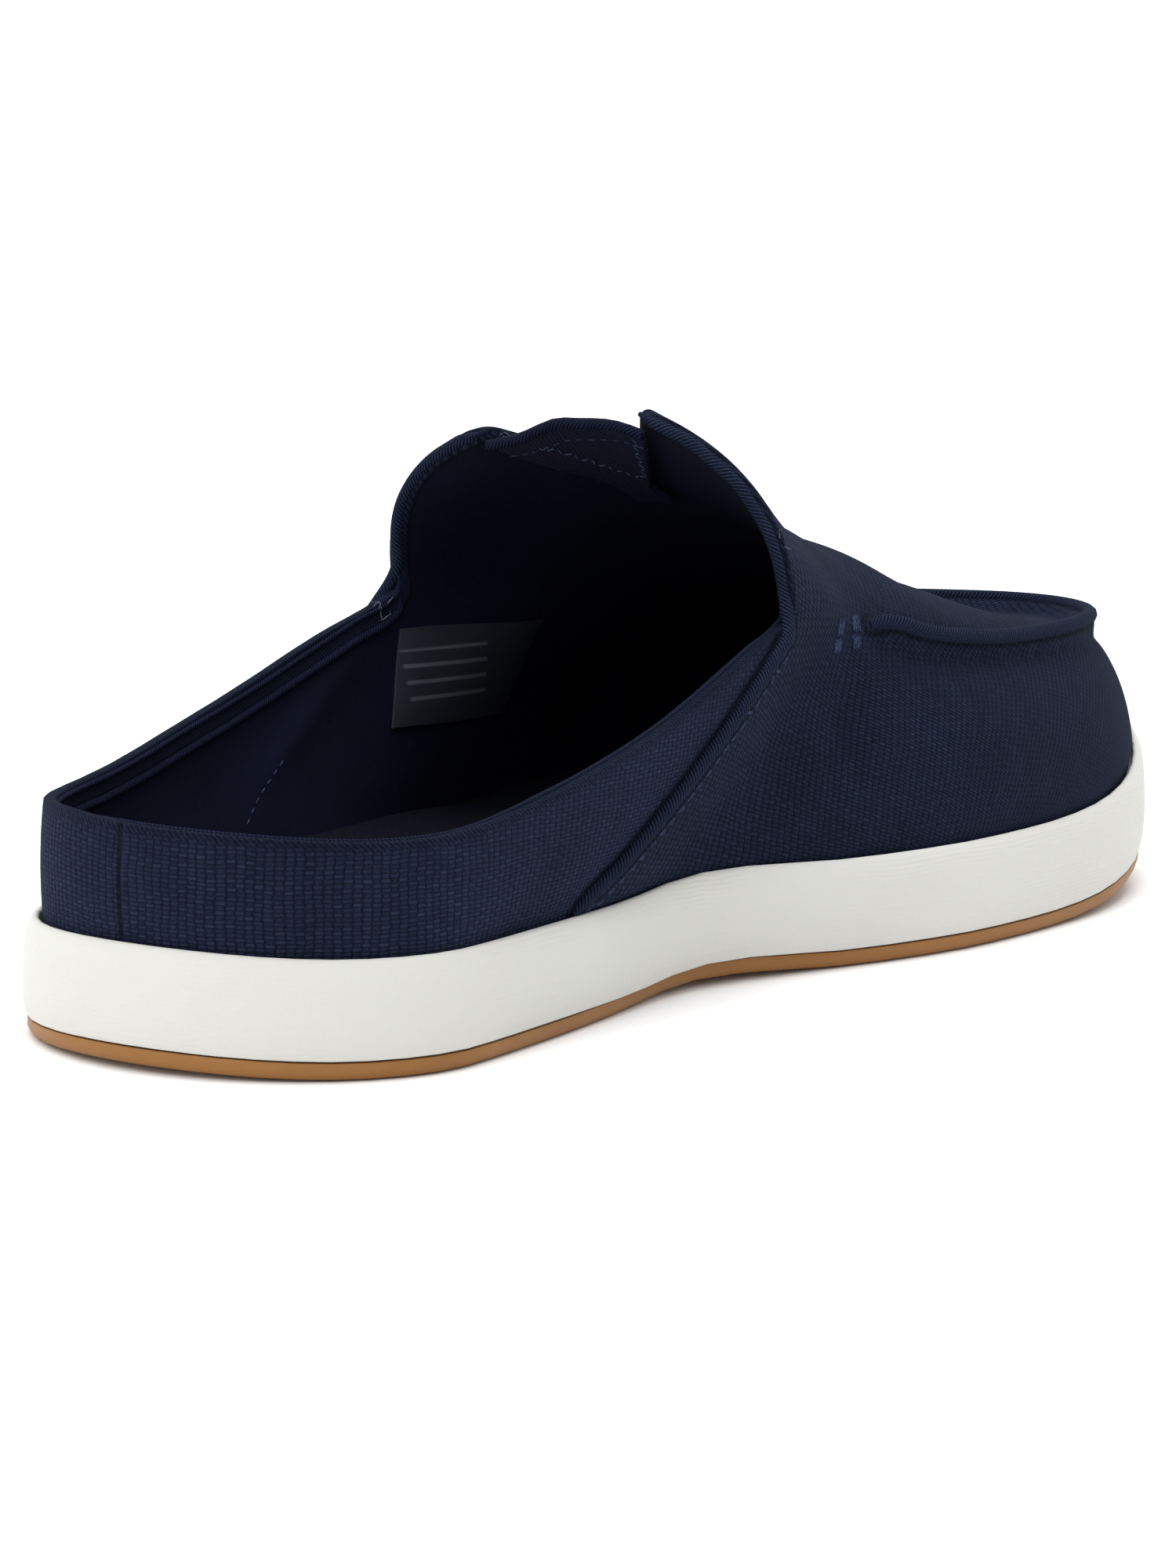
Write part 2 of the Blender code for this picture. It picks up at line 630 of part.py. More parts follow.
def make_gore(collection):
    """Elastic panel under the notch, hung just below the inner face of the wings."""
    stations = np.linspace(WING_STATION + 0.004, NOTCH_APEX + 0.030, 8)
    across_count = 13
    points = []
    for station in stations:
        crown_x = crown_point(station)[0]
        notch = float(notch_half_width(crown_x))
        reach = notch + GORE_MARGIN
        turn = float(turn_of(station, SHOULDER_BACK, SHOULDER_TIP))
        for across in np.linspace(-1, 1, across_count):
            side = -1.0 if across < 0 else 1.0
            shoulder, _ = shoulder_points(np.array([turn if side < 0 else 2 - turn]))
            curve = crown_curve(shoulder[0], station, side, reach=0.0)
            length = spread(curve, [0.0])[1]
            point = spread(curve, [length - abs(across) * reach])[0][0]
            middle = 1 - ease(abs(across) * reach / max(0.9 * notch, 1e-6))
            swell = GORE_SWELL * ease((notch / NOTCH_HALF_WIDTH - 0.3) / 0.7)
            point[2] += middle * (swell + side * outer_drop(station, crown_x) / 2)
            points.append(point)
    points = np.array(points)
    faces = []
    for row in range(len(stations) - 1):
        for k in range(across_count - 1):
            a = row * across_count + k
            faces.append((a, a + across_count, a + across_count + 1, a + 1))
    normals = grid_normals(points, faces)
    normals *= np.sign(normals[:, 2:3])
    points = points - normals * (UPPER_WALL + GORE_GAP)
    gore = add_mesh("gore", points, faces, collection)
    wall = gore.modifiers.new("wall", "SOLIDIFY")
    wall.thickness = GORE_THICKNESS
    wall.offset = -1.0
    give_material(gore, (0.010, 0.016, 0.050), 0.8)
    return gore


def wall_point(turn, height):
    """The point of a wall column at a height."""
    feet, normals = wall_foot(np.array([turn]))
    shoulders, stations = shoulder_points(np.array([turn]))
    column = wall_column(feet[0], normals[0], shoulders[0], stations[0], WALL_ROWS)
    point = np.array([np.interp(height, column[:, 2], column[:, k]) for k in range(3)])
    return point


def make_label(collection):
    """Blank woven label on the inner face of the outer wall."""
    columns, rows = 7, 4
    start_x = LABEL_STATION * SOLE_LENGTH
    foot_z = float(rim_height(0.5)) + LABEL_RISE
    points = []
    wanted_x = np.linspace(start_x, start_x + LABEL_LENGTH, columns)
    near, far = turn_of(np.array([LABEL_STATION, SEAM[4, 0]]), SHOULDER_BACK, SHOULDER_TIP)
    turns = 2 - np.linspace(near, far, 40)
    for row in range(rows):
        z = foot_z + LABEL_HEIGHT * row / (rows - 1)
        lean = LABEL_LEAN * row / (rows - 1)
        track = np.array([wall_point(t, z) for t in turns])
        track = track[np.argsort(track[:, 0])]
        for x in wanted_x + lean:
            points.append((x, np.interp(x, track[:, 0], track[:, 1]), z))
    faces = []
    for row in range(rows - 1):
        for k in range(columns - 1):
            a = row * columns + k
            faces.append((a, a + columns, a + columns + 1, a + 1))
    points = np.array(points)
    normals = grid_normals(points, faces)
    normals *= -np.sign(normals[:, 1:2])
    points = points + normals * (UPPER_WALL + GAP)
    label = add_mesh("size_label", points, faces, collection)
    wall = label.modifiers.new("wall", "SOLIDIFY")
    wall.thickness = LABEL_THICKNESS
    wall.offset = -1.0 if label.data.polygons[0].normal.y > 0 else 1.0
    give_material(label, (0.62, 0.64, 0.70), 0.7)
    return label


def main():
    for thing in list(bpy.data.objects):
        bpy.data.objects.remove(thing)
    collection = bpy.data.collections.new("sneaker_mule")
    bpy.context.scene.collection.children.link(collection)
    make_outsole(collection)
    make_midsole(collection)
    make_insole(collection)
    make_upper(collection)
    make_gore(collection)
    make_label(collection)


main()
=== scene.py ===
# A navy canvas sneaker mule for the left foot: toe at +X, inner side at -Y, floor at z = 0.
import math
import random

import bpy
import numpy as np
from mathutils import Matrix, Vector
from mathutils.bvhtree import BVHTree
from mathutils.kdtree import KDTree


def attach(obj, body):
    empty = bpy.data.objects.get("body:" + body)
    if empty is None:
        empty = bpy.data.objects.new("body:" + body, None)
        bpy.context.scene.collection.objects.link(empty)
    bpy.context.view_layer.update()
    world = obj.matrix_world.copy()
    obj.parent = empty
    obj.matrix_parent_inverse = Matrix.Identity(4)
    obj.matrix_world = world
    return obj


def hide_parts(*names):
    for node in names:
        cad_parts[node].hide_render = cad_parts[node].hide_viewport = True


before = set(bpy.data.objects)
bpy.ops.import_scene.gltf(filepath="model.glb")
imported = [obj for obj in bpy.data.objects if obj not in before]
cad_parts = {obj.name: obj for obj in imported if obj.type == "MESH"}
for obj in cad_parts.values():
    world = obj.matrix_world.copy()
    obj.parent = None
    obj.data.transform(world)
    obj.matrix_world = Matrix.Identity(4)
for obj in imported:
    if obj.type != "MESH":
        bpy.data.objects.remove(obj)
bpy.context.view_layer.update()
mm = 0.001
lineStep = 0.5 * mm
random.seed(4)
noise = np.random.default_rng(4)
print("frame loaded:", sorted(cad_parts))


# Materials

def colour(hexValue):
    parts = [int(hexValue[k:k + 2], 16) / 255 for k in (1, 3, 5)]
    return tuple(c / 12.92 if c <= 0.04045 else ((c + 0.055) / 1.055) ** 2.4 for c in parts) + (1.0,)


deepShade = colour("#05070d")  # the dark in a gap between two layers of cloth


def newMaterial(name):
    material = bpy.data.materials.new(name)
    material.use_nodes = True
    return material, material.node_tree, material.node_tree.nodes["Principled BSDF"]


def add(tree, kind, inputs=None, **settings):
    node = tree.nodes.new("ShaderNode" + kind)
    for key, value in settings.items():
        setattr(node, key, value)
    for key, value in (inputs or {}).items():
        if isinstance(value, bpy.types.NodeSocket):
            tree.links.new(value, node.inputs[key])
        else:
            node.inputs[key].default_value = value
    return node


def maths(tree, operation, a, b=0.0, c=0.0):
    return add(tree, "Math", {0: a, 1: b, 2: c}, operation=operation).outputs[0]


def ramp(tree, value, low, high, lowTo=0.0, highTo=1.0):
    limits = {"From Min": low, "From Max": high, "To Min": lowTo, "To Max": highTo}
    return add(tree, "MapRange", {"Value": value, **limits}).outputs[0]


def mixColour(tree, share, a, b):
    node = add(tree, "Mix", data_type="RGBA")
    for socket, value in ((node.inputs[0], share), (node.inputs[6], a), (node.inputs[7], b)):
        if isinstance(value, bpy.types.NodeSocket):
            tree.links.new(value, socket)
        else:
            socket.default_value = value
    return node.outputs[2]


def attribute(tree, name):
    return add(tree, "Attribute", attribute_name=name, attribute_type="GEOMETRY").outputs["Fac"]


def band(tree, value, low, high, soft):
    # 1 between two values and 0 outside them, with a soft start and end.
    rise = add(tree, "MapRange", {"Value": value, "From Min": low - soft, "From Max": low + soft},
               interpolation_type="SMOOTHSTEP").outputs[0]
    fall = add(tree, "MapRange", {"Value": value, "From Min": high - soft, "From Max": high + soft,
                                  "To Min": 1.0, "To Max": 0.0}, interpolation_type="SMOOTHSTEP").outputs[0]
    return maths(tree, "MULTIPLY", rise, fall)


def blend(tree, share, a, b):
    return add(tree, "Mix", {0: share, 2: a, 3: b}, data_type="FLOAT").outputs[0]


def weavePattern(tree, uv, across, along):
    # Plain weave on a map in millimetres: the threads' height, their slubs, and which of them lies on top.
    wobble = add(tree, "TexNoise", {"Vector": uv, "Scale": cloth["driftScale"], "Detail": 2.0})
    wobble = wobble.outputs["Color"]
    shift = add(tree, "VectorMath", {0: wobble, 1: (0.5, 0.5, 0.5)}, operation="SUBTRACT").outputs[0]
    bent = add(tree, "VectorMath", {0: shift, 1: cloth["drift"], 2: uv}, operation="MULTIPLY_ADD").outputs[0]
    place = add(tree, "SeparateXYZ", {0: bent})
    waves, slubs = [], []
    for axis, other, pitch in (("X", "Y", across), ("Y", "X", along)):
        turns = maths(tree, "MULTIPLY", place.outputs[axis], 1 / pitch)
        number = maths(tree, "MULTIPLY", maths(tree, "FLOOR", turns), cloth["threadsApart"])
        alongIt = maths(tree, "MULTIPLY", place.outputs[other], cloth["slubScale"])
        thread = add(tree, "CombineXYZ", {"X": number, "Y": alongIt, "Z": pitch * 5}).outputs[0]
        slubs.append(add(tree, "TexNoise", {"Scale": 1.0, "Detail": 2.0, "Vector": thread}).outputs[0])
        waves.append(maths(tree, "SINE", maths(tree, "MULTIPLY", turns, math.pi)))
    over = ramp(tree, maths(tree, "MULTIPLY", waves[0], waves[1]), -0.15, 0.15)
    roundX, roundY = (maths(tree, "ABSOLUTE", wave) for wave in waves)
    warp = maths(tree, "MULTIPLY", maths(tree, "POWER", roundX, 0.75), maths(tree, "POWER", roundY, 0.30))
    weft = maths(tree, "MULTIPLY", maths(tree, "POWER", roundY, 0.75), maths(tree, "POWER", roundX, 0.30))
    return blend(tree, over, weft, warp), blend(tree, over, slubs[1], slubs[0]), over


def canvasMaterial(name, base, light, dark, heelSide):
    # Coarse dyed hemp canvas: plain weave with slubs and painted shade in the pits at the crossings,
    # twill-like where folded.
    material, tree, shader = newMaterial(name)
    uv = add(tree, "UVMap", uv_map="weave").outputs[0]
    height, slubs, over = weavePattern(tree, uv, cloth["across"], cloth["along"])
    overlay = attribute(tree, "overlay")
    crest = attribute(tree, "crest")
    place = add(tree, "SeparateXYZ", {0: uv})
    slant = maths(tree, "ADD", place.outputs["X"], place.outputs["Y"])
    slant = maths(tree, "MULTIPLY", slant, 2 * math.pi / cloth["foldedTwill"])
    twill = ramp(tree, maths(tree, "SINE", slant), -0.7, 1.0)
    folded = ramp(tree, attribute(tree, "rim"), *cloth["foldedAt"])
    height = blend(tree, maths(tree, "MULTIPLY", folded, 0.75), height, twill)
    fuzz = add(tree, "TexNoise", {"Vector": uv, "Scale": 3.4, "Detail": 4.0, "Roughness": 0.65}).outputs[0]
    cloud = add(tree, "TexNoise", {"Vector": uv, "Scale": 0.045, "Detail": 3.0}).outputs[0]
    tint = mixColour(tree, ramp(tree, slubs, 0.30, 0.74, 0.0, 0.85), base, light)
    tint = mixColour(tree, maths(tree, "MULTIPLY", over, 0.35), tint, dark)
    # Painted shade in the pits between the threads, where the weave's height is low.
    tint = mixColour(tree, ramp(tree, height, 0.22, 0.80, 1.0, 0.0), tint, dark)
    tint = mixColour(tree, ramp(tree, fuzz, 0.36, 0.74, 0.0, 0.40), tint, light)
    tint = mixColour(tree, ramp(tree, cloud, 0.35, 0.70, 0.0, 0.30), tint, dark)
    if heelSide:
        # The back seam's groove, with painted shade in it, and painted shade under the front panel's edge.
        where = add(tree, "SeparateXYZ", {0: add(tree, "TexCoord").outputs["Object"]})
        atBack = ramp(tree, where.outputs["X"], *cloth["atBack"])
        aside = maths(tree, "ABSOLUTE", maths(tree, "SUBTRACT", where.outputs["Y"], upperLook["seamY"]))
        groove = maths(tree, "MULTIPLY", ramp(tree, aside, *cloth["backSeam"], 1.0, 0.0), atBack)
        tint = mixColour(tree, ramp(tree, overlay, *cloth["overlapShade"], 0.0, 0.95), tint, deepShade)
    else:
        # The groove where the overlap's roll ends, with painted shade in it.
        groove = band(tree, overlay, *cloth["overlapGroove"], 0.35)
    seamShade = band(tree, crest, *cloth["toeSeamShade"], 0.35)
    # Painted shade in the groove, and painted shade below the toe seam's roll.
    tint = mixColour(tree, maths(tree, "MULTIPLY", groove, 0.7), tint, dark)
    tint = mixColour(tree, maths(tree, "MULTIPLY", seamShade, 0.9), tint, deepShade)
    tint = mixColour(tree, maths(tree, "MULTIPLY", folded, 0.35), tint, dark)
    tree.links.new(tint, shader.inputs["Base Color"])
    shader.inputs["Roughness"].default_value = 0.93
    shader.inputs["Specular IOR Level"].default_value = 0.05
    shader.inputs["Sheen Weight"].default_value = 0.055
    shader.inputs["Sheen Roughness"].default_value = 0.5
    shader.inputs["Sheen Tint"].default_value = colour("#7f90cc")
    drift = add(tree, "TexNoise", {"Vector": uv, "Scale": 0.16}).outputs[0]
    uneven = maths(tree, "MULTIPLY", drift, 9.0)
    run = maths(tree, "MULTIPLY_ADD", attribute(tree, "seamRun"), 2 * math.pi / cloth["puckerPitch"], uneven)
    pucker = maths(tree, "MULTIPLY", maths(tree, "SINE", run), band(tree, crest, *cloth["puckersAt"], 1.6))
    relief = maths(tree, "MULTIPLY_ADD", slubs, 0.5, height)
    relief = maths(tree, "MULTIPLY_ADD", pucker, 0.55, relief)
    relief = maths(tree, "MULTIPLY_ADD", fuzz, 0.35, relief)
    relief = maths(tree, "MULTIPLY_ADD", groove, -1.6, relief)
    bump = add(tree, "Bump", {"Height": relief, "Strength": 1.0, "Distance": cloth["depth"]})
    tree.links.new(bump.outputs[0], shader.inputs["Normal"])
    return material


def rolledMaterial(name, base, light, dark, pitch):
    # Folded canvas edge or narrow tape: fine slanting threads round a roll.
    material, tree, shader = newMaterial(name)
    uv = add(tree, "UVMap", uv_map="weave").outputs[0]
    place = add(tree, "SeparateXYZ", {0: uv})
    slant = maths(tree, "MULTIPLY_ADD", place.outputs["Y"], 0.8, place.outputs["X"])
    slant = maths(tree, "MULTIPLY", slant, 2 * math.pi / pitch)
    threads = ramp(tree, maths(tree, "SINE", slant), -0.8, 1.0)
    fuzz = add(tree, "TexNoise", {"Vector": uv, "Scale": 2.6, "Detail": 4.0}).outputs[0]
    tint = mixColour(tree, ramp(tree, fuzz, 0.35, 0.68), base, light)
    tint = mixColour(tree, ramp(tree, threads, 0.0, 0.55, 0.85, 0.0), tint, dark)
    tint = mixColour(tree, ramp(tree, threads, 0.6, 1.0, 0.0, 0.45), tint, light)
    tree.links.new(tint, shader.inputs["Base Color"])
    shader.inputs["Roughness"].default_value = 0.93
    shader.inputs["Specular IOR Level"].default_value = 0.05
    relief = maths(tree, "MULTIPLY_ADD", fuzz, 0.8, threads)
    bump = add(tree, "Bump", {"Height": relief, "Strength": 0.9, "Distance": 0.22 * mm})
    tree.links.new(bump.outputs[0], shader.inputs["Normal"])
    return material


def threadMaterial(name, light, dark):
    # Spun sewing thread: two shades of one dyed colour, dull.
    material, tree, shader = newMaterial(name)
    where = add(tree, "TexCoord").outputs["Object"]
    twist = add(tree, "TexNoise", {"Vector": where, "Scale": 2600.0, "Detail": 2.0}).outputs[0]
    tree.links.new(mixColour(tree, ramp(tree, twist, 0.4, 0.6), dark, light), shader.inputs["Base Color"])
    shader.inputs["Roughness"].default_value = 0.8
    shader.inputs["Specular IOR Level"].default_value = 0.1
    return material


def elasticMaterial():
    # Knitted elastic: fine cords side by side along the foot, a little shinier than the canvas.
    material, tree, shader = newMaterial("knitted_elastic")
    where = add(tree, "TexCoord").outputs["Object"]
    place = add(tree, "SeparateXYZ", {0: where})
    cords = maths(tree, "SINE", maths(tree, "MULTIPLY", place.outputs["Y"], 2 * math.pi / (0.75 * mm)))
    knit = maths(tree, "SINE", maths(tree, "MULTIPLY", place.outputs["X"], 2 * math.pi / (0.55 * mm)))
    relief = maths(tree, "MULTIPLY_ADD", knit, 0.3, cords)
    tint = mixColour(tree, ramp(tree, relief, -1.0, 0.9), colour("#070914"), colour("#161a31"))
    tree.links.new(tint, shader.inputs["Base Color"])
    shader.inputs["Roughness"].default_value = 0.8
    shader.inputs["Specular IOR Level"].default_value = 0.12
    bump = add(tree, "Bump", {"Height": relief, "Strength": 0.7, "Distance": 0.12 * mm})
    tree.links.new(bump.outputs[0], shader.inputs["Normal"])
    return material


def liningMaterial():
    # Smooth brushed lining cloth with a faint nap. The canvas turns over the rim and ends in a step, with
    # painted shade along it.
    material, tree, shader = newMaterial("navy_brushed_lining")
    where = add(tree, "TexCoord").outputs["Object"]
    rim = attribute(tree, "rim")
    nap = add(tree, "TexNoise", {"Vector": where, "Scale": 900.0, "Detail": 3.0}).outputs[0]
    cloud = add(tree, "TexNoise", {"Vector": where, "Scale": 45.0, "Detail": 3.0}).outputs[0]
    place = add(tree, "SeparateXYZ", {0: where})
    slant = maths(tree, "ADD", place.outputs["X"], place.outputs["Z"])
    slant = maths(tree, "MULTIPLY", slant, 2 * math.pi / liningLook["twill"])
    twill = ramp(tree, maths(tree, "SINE", slant), -0.7, 1.0)
    turned = ramp(tree, rim, liningLook["turnOver"] + 0.2, liningLook["turnOver"] - 0.2)
    step = band(tree, rim, liningLook["turnOver"] + 0.1, liningLook["turnOver"] + 0.5, 0.25)
    tint = mixColour(tree, nap, colour("#090c1c"), colour("#101428"))
    tint = mixColour(tree, ramp(tree, cloud, 0.35, 0.7, 0.0, 0.5), tint, colour("#060814"))
    tint = mixColour(tree, turned, tint, mixColour(tree, twill, colour("#0a0f1d"), colour("#1b2135")))
    # Painted shade along the step where the turned-over canvas ends.
    tint = mixColour(tree, maths(tree, "MULTIPLY", step, 0.8), tint, colour("#05070f"))
    tree.links.new(tint, shader.inputs["Base Color"])
    shader.inputs["Roughness"].default_value = 0.95
    shader.inputs["Specular IOR Level"].default_value = 0.08
    relief = maths(tree, "MULTIPLY_ADD", nap, 0.4, blend(tree, turned, 0.0, maths(tree, "ADD", twill, 1.0)))
    bump = add(tree, "Bump", {"Height": relief, "Strength": 0.6, "Distance": 0.15 * mm})
    tree.links.new(bump.outputs[0], shader.inputs["Normal"])
    return material


def footbedMaterial():
    # Worn dark footbed cloth: near-black navy, matt, pressed smooth with a little lint.
    material, tree, shader = newMaterial("pressed_footbed_cloth")
    where = add(tree, "TexCoord").outputs["Object"]
    lint = add(tree, "TexNoise", {"Vector": where, "Scale": 1300.0, "Detail": 4.0}).outputs[0]
    wear = add(tree, "TexNoise", {"Vector": where, "Scale": 30.0, "Detail": 3.0}).outputs[0]
    tint = mixColour(tree, ramp(tree, lint, 0.45, 0.75), colour("#04060f"), colour("#0b0e1b"))
    tint = mixColour(tree, ramp(tree, wear, 0.4, 0.7, 0.0, 0.5), tint, colour("#0a0c16"))
    tree.links.new(tint, shader.inputs["Base Color"])
    shader.inputs["Roughness"].default_value = 0.95
    shader.inputs["Specular IOR Level"].default_value = 0.08
    bump = add(tree, "Bump", {"Height": lint, "Strength": 0.5, "Distance": 0.12 * mm})
    tree.links.new(bump.outputs[0], shader.inputs["Normal"])
    return material


def labelMaterial():
    # Woven satin label: slate grey, a little shinier than the cloth, with plain paler lines and no words.
    material, tree, shader = newMaterial("woven_satin_label")
    where = add(tree, "TexCoord").outputs["Object"]
    place = add(tree, "SeparateXYZ", {0: where})
    row = maths(tree, "FRACT", maths(tree, "MULTIPLY_ADD", place.outputs["X"], 0.02 / labelLook["pitch"],
                                     maths(tree, "DIVIDE", place.outputs["Z"], labelLook["pitch"])))
    ruled = band(tree, row, 0.38, 0.62, 0.05)
    ruled = maths(tree, "MULTIPLY", ruled, band(tree, place.outputs["X"], *labelLook["between"], 0.6 * mm))
    ruled = maths(tree, "MULTIPLY", ruled, band(tree, place.outputs["Z"], *labelLook["heights"], 0.4 * mm))
    satin = add(tree, "TexNoise", {"Vector": where, "Scale": 1600.0, "Detail": 2.0}).outputs[0]
    tint = mixColour(tree, satin, colour("#20232c"), colour("#2a2d38"))
    tint = mixColour(tree, maths(tree, "MULTIPLY", ruled, 0.75), tint, colour("#5c5f69"))
    tree.links.new(tint, shader.inputs["Base Color"])
    shader.inputs["Roughness"].default_value = 0.55
    shader.inputs["Specular IOR Level"].default_value = 0.3
    bump = add(tree, "Bump", {"Height": satin, "Strength": 0.3, "Distance": 0.05 * mm})
    tree.links.new(bump.outputs[0], shader.inputs["Normal"])
    return material


def foamMaterial():
    # Moulded white foam: matte skin with very fine wavy lines along the side wall.
    material, tree, shader = newMaterial("moulded_eva_foam")
    where = add(tree, "TexCoord").outputs["Object"]
    place = add(tree, "SeparateXYZ", {0: where})
    drift = add(tree, "TexNoise", {"Vector": where, "Scale": 28.0, "Detail": 3.0}).outputs[0]
    lines = maths(tree, "SINE", maths(tree, "MULTIPLY_ADD", place.outputs["Z"], 2 * math.pi / (0.85 * mm),
                                      maths(tree, "MULTIPLY", drift, 34.0)))
    pores = add(tree, "TexNoise", {"Vector": where, "Scale": 1500.0, "Detail": 2.0}).outputs[0]
    tint = mixColour(tree, add(tree, "TexNoise", {"Vector": where, "Scale": 18.0}).outputs[0],
                     colour("#cacac5"), colour("#c4c3be"))
    tree.links.new(tint, shader.inputs["Base Color"])
    shader.inputs["Roughness"].default_value = 0.62
    shader.inputs["Specular IOR Level"].default_value = 0.35
    shader.inputs["Subsurface Weight"].default_value = 0.12
    shader.inputs["Subsurface Radius"].default_value = (0.003, 0.0025, 0.002)
    patches = add(tree, "TexNoise", {"Vector": where, "Scale": 22.0, "Detail": 2.0}).outputs[0]
    shown = ramp(tree, patches, 0.45, 0.66, 0.10, 0.55)
    relief = maths(tree, "MULTIPLY_ADD", lines, shown, pores)
    bump = add(tree, "Bump", {"Height": relief, "Strength": 0.5, "Distance": 0.13 * mm})
    tree.links.new(bump.outputs[0], shader.inputs["Normal"])
    return material


def gumMaterial():
    # Gum rubber: warm tan with a soft satin sheen and a fine mould grain.
    material, tree, shader = newMaterial("moulded_gum_rubber")
    where = add(tree, "TexCoord").outputs["Object"]
    cloud = add(tree, "TexNoise", {"Vector": where, "Scale": 60.0, "Detail": 3.0}).outputs[0]
    grain = add(tree, "TexNoise", {"Vector": where, "Scale": 1800.0}).outputs[0]
    tint = mixColour(tree, cloud, colour("#85592a"), colour("#956838"))
    tree.links.new(tint, shader.inputs["Base Color"])
    shader.inputs["Roughness"].default_value = 0.5
    shader.inputs["Specular IOR Level"].default_value = 0.25
    bump = add(tree, "Bump", {"Height": grain, "Strength": 0.3, "Distance": 0.08 * mm})
    tree.links.new(bump.outputs[0], shader.inputs["Normal"])
    return material


cloth = {
    "across": 1.45,
    "along": 0.72,
    "lean": 10,
    "depth": 0.30 * mm,
    "drift": (1.6, 1.2, 0.0),  # how far the threads wander
    "driftScale": 0.12,
    "threadsApart": 7.31,  # so that neighbouring threads get slubs of their own
    "slubScale": 0.16,
    "foldedAt": (2.9, 1.9),  # millimetres from the rim
    "foldedTwill": 0.95,
    "overlapShade": (1.9, 0.9),
    "overlapGroove": (2.75, 3.1),
    "atBack": (-136 * mm, -140 * mm),
    "backSeam": (0.22 * mm, 0.75 * mm),
    "toeSeamShade": (1.4, 2.4),
    "puckersAt": (2.2, 6.0),
    "puckerPitch": 5.2,
}
liningLook = {
    "turnOver": 2.6,
    "twill": 0.9 * mm,
}
labelLook = {
    "pitch": 2.9 * mm,
    "between": (-16 * mm, 7 * mm),
    "heights": (41 * mm, 51 * mm),
}
upperLook = {
    "seedInside": Vector((60, 0, 50)) * mm,
    "seedHeel": Vector((-144, 0, 30)) * mm,
    "nearToeSeam": Vector((129, 2, 52)) * mm,
    "seamWithin": 6 * mm,
    "toeSeamFrom": 21 * mm,
    "outerSeamEnd": [(40, 40, 58.3), (34, 40, 59.7), (27, 40, 60.6)],
    "rimAbove": 33 * mm,
    "clearOfRim": 2.9 * mm,
    "overlapFrom": -82 * mm,
    "overlapTo": -8 * mm,
    "overlapRise": 0.3,
    "overlapFoot": Vector((-71, 0, 19.4)) * mm,
    "overlapSlope": 1.46,
    "tipFrom": 122 * mm,
    "tipY": -8.5 * mm,
    "tipHalf": 1.0 * mm,
    "seamY": 3.3 * mm,
    "subdivisions": 2,
    "farthest": 40.0,
}
# The heel panel's canvas is painted lighter than the front panel's: painted light for the brighter light that
# falls on the heel strip.
paintedLighterHeelCanvas = canvasMaterial("hemp_canvas_heel_painted_lighter",
                            colour("#181f31"), colour("#2b334b"), colour("#060813"), True)
frontCanvas = canvasMaterial("hemp_canvas_front",
                             colour("#141a2a"), colour("#232b40"), colour("#04060f"), False)
rolledCanvas = rolledMaterial("folded_canvas_edge",
                              colour("#151b2b"), colour("#273048"), colour("#070a13"), 0.8)
liningTape = rolledMaterial("lining_edge_tape",
                            colour("#14182b"), colour("#242a43"), colour("#070915"), 0.7)
seamThread = threadMaterial("navy_sewing_thread", colour("#333f5a"), colour("#1a2136"))
greyThread = threadMaterial("blue_grey_overlock_thread", colour("#434c68"), colour("#2a324e"))
elasticRoll = rolledMaterial("folded_elastic_edge",
                             colour("#0f1324"), colour("#1c2137"), colour("#04060f"), 0.8)
paleThread = threadMaterial("pale_loose_thread", colour("#6a7182"), colour("#4c5266"))
lining = liningMaterial()
footbed = footbedMaterial()
satinLabel = labelMaterial()
elastic = elasticMaterial()
foam = foamMaterial()
gum = gumMaterial()
print("materials made")


# Shared modelling steps

def only(*things):
    bpy.ops.object.select_all(action="DESELECT")
    for thing in things:
        thing.select_set(True)
    bpy.context.view_layer.objects.active = things[0]


def copyOf(nodeName, newName):
    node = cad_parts[nodeName]
    mesh = node.data.copy()
    mesh.transform(node.matrix_world)
    mesh.materials.clear()
    thing = bpy.data.objects.new(newName, mesh)
    bpy.context.scene.collection.objects.link(thing)
    only(thing)
    bpy.ops.object.mode_set(mode="EDIT")
    bpy.ops.mesh.select_all(action="SELECT")
    bpy.ops.mesh.remove_doubles(threshold=1e-6)
    bpy.ops.mesh.tris_convert_to_quads(face_threshold=math.radians(50), shape_threshold=math.radians(70))
    bpy.ops.mesh.normals_make_consistent(inside=False)
    bpy.ops.object.mode_set(mode="OBJECT")
    return thing


def applied(thing, kind, **settings):
    only(thing)
    modifier = thing.modifiers.new(kind.lower(), kind)
    for key, value in settings.items():
        setattr(modifier, key, value)
    bpy.ops.object.modifier_apply(modifier=modifier.name)


def finished(thing, node):
    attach(thing, "root")
    if node:
        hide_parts(node)


def chainOf(pairs):
    # Puts loose edges, given as pairs of point numbers, in order from one end to the other.
    beside = {}
    for a, b in pairs:
        beside.setdefault(a, []).append(b)
        beside.setdefault(b, []).append(a)
    chains, seen = [], set()
    for start in sorted(beside, key=lambda point: (len(beside[point]), point)):
        if start in seen:
            continue
        chain = [start]
        seen.add(start)
        following = [point for point in beside[start] if point not in seen]
        while following:
            chain.append(following[0])
            seen.add(following[0])
            following = [point for point in beside[chain[-1]] if point not in seen]
        chains.append(chain)
    return max(chains, key=len)


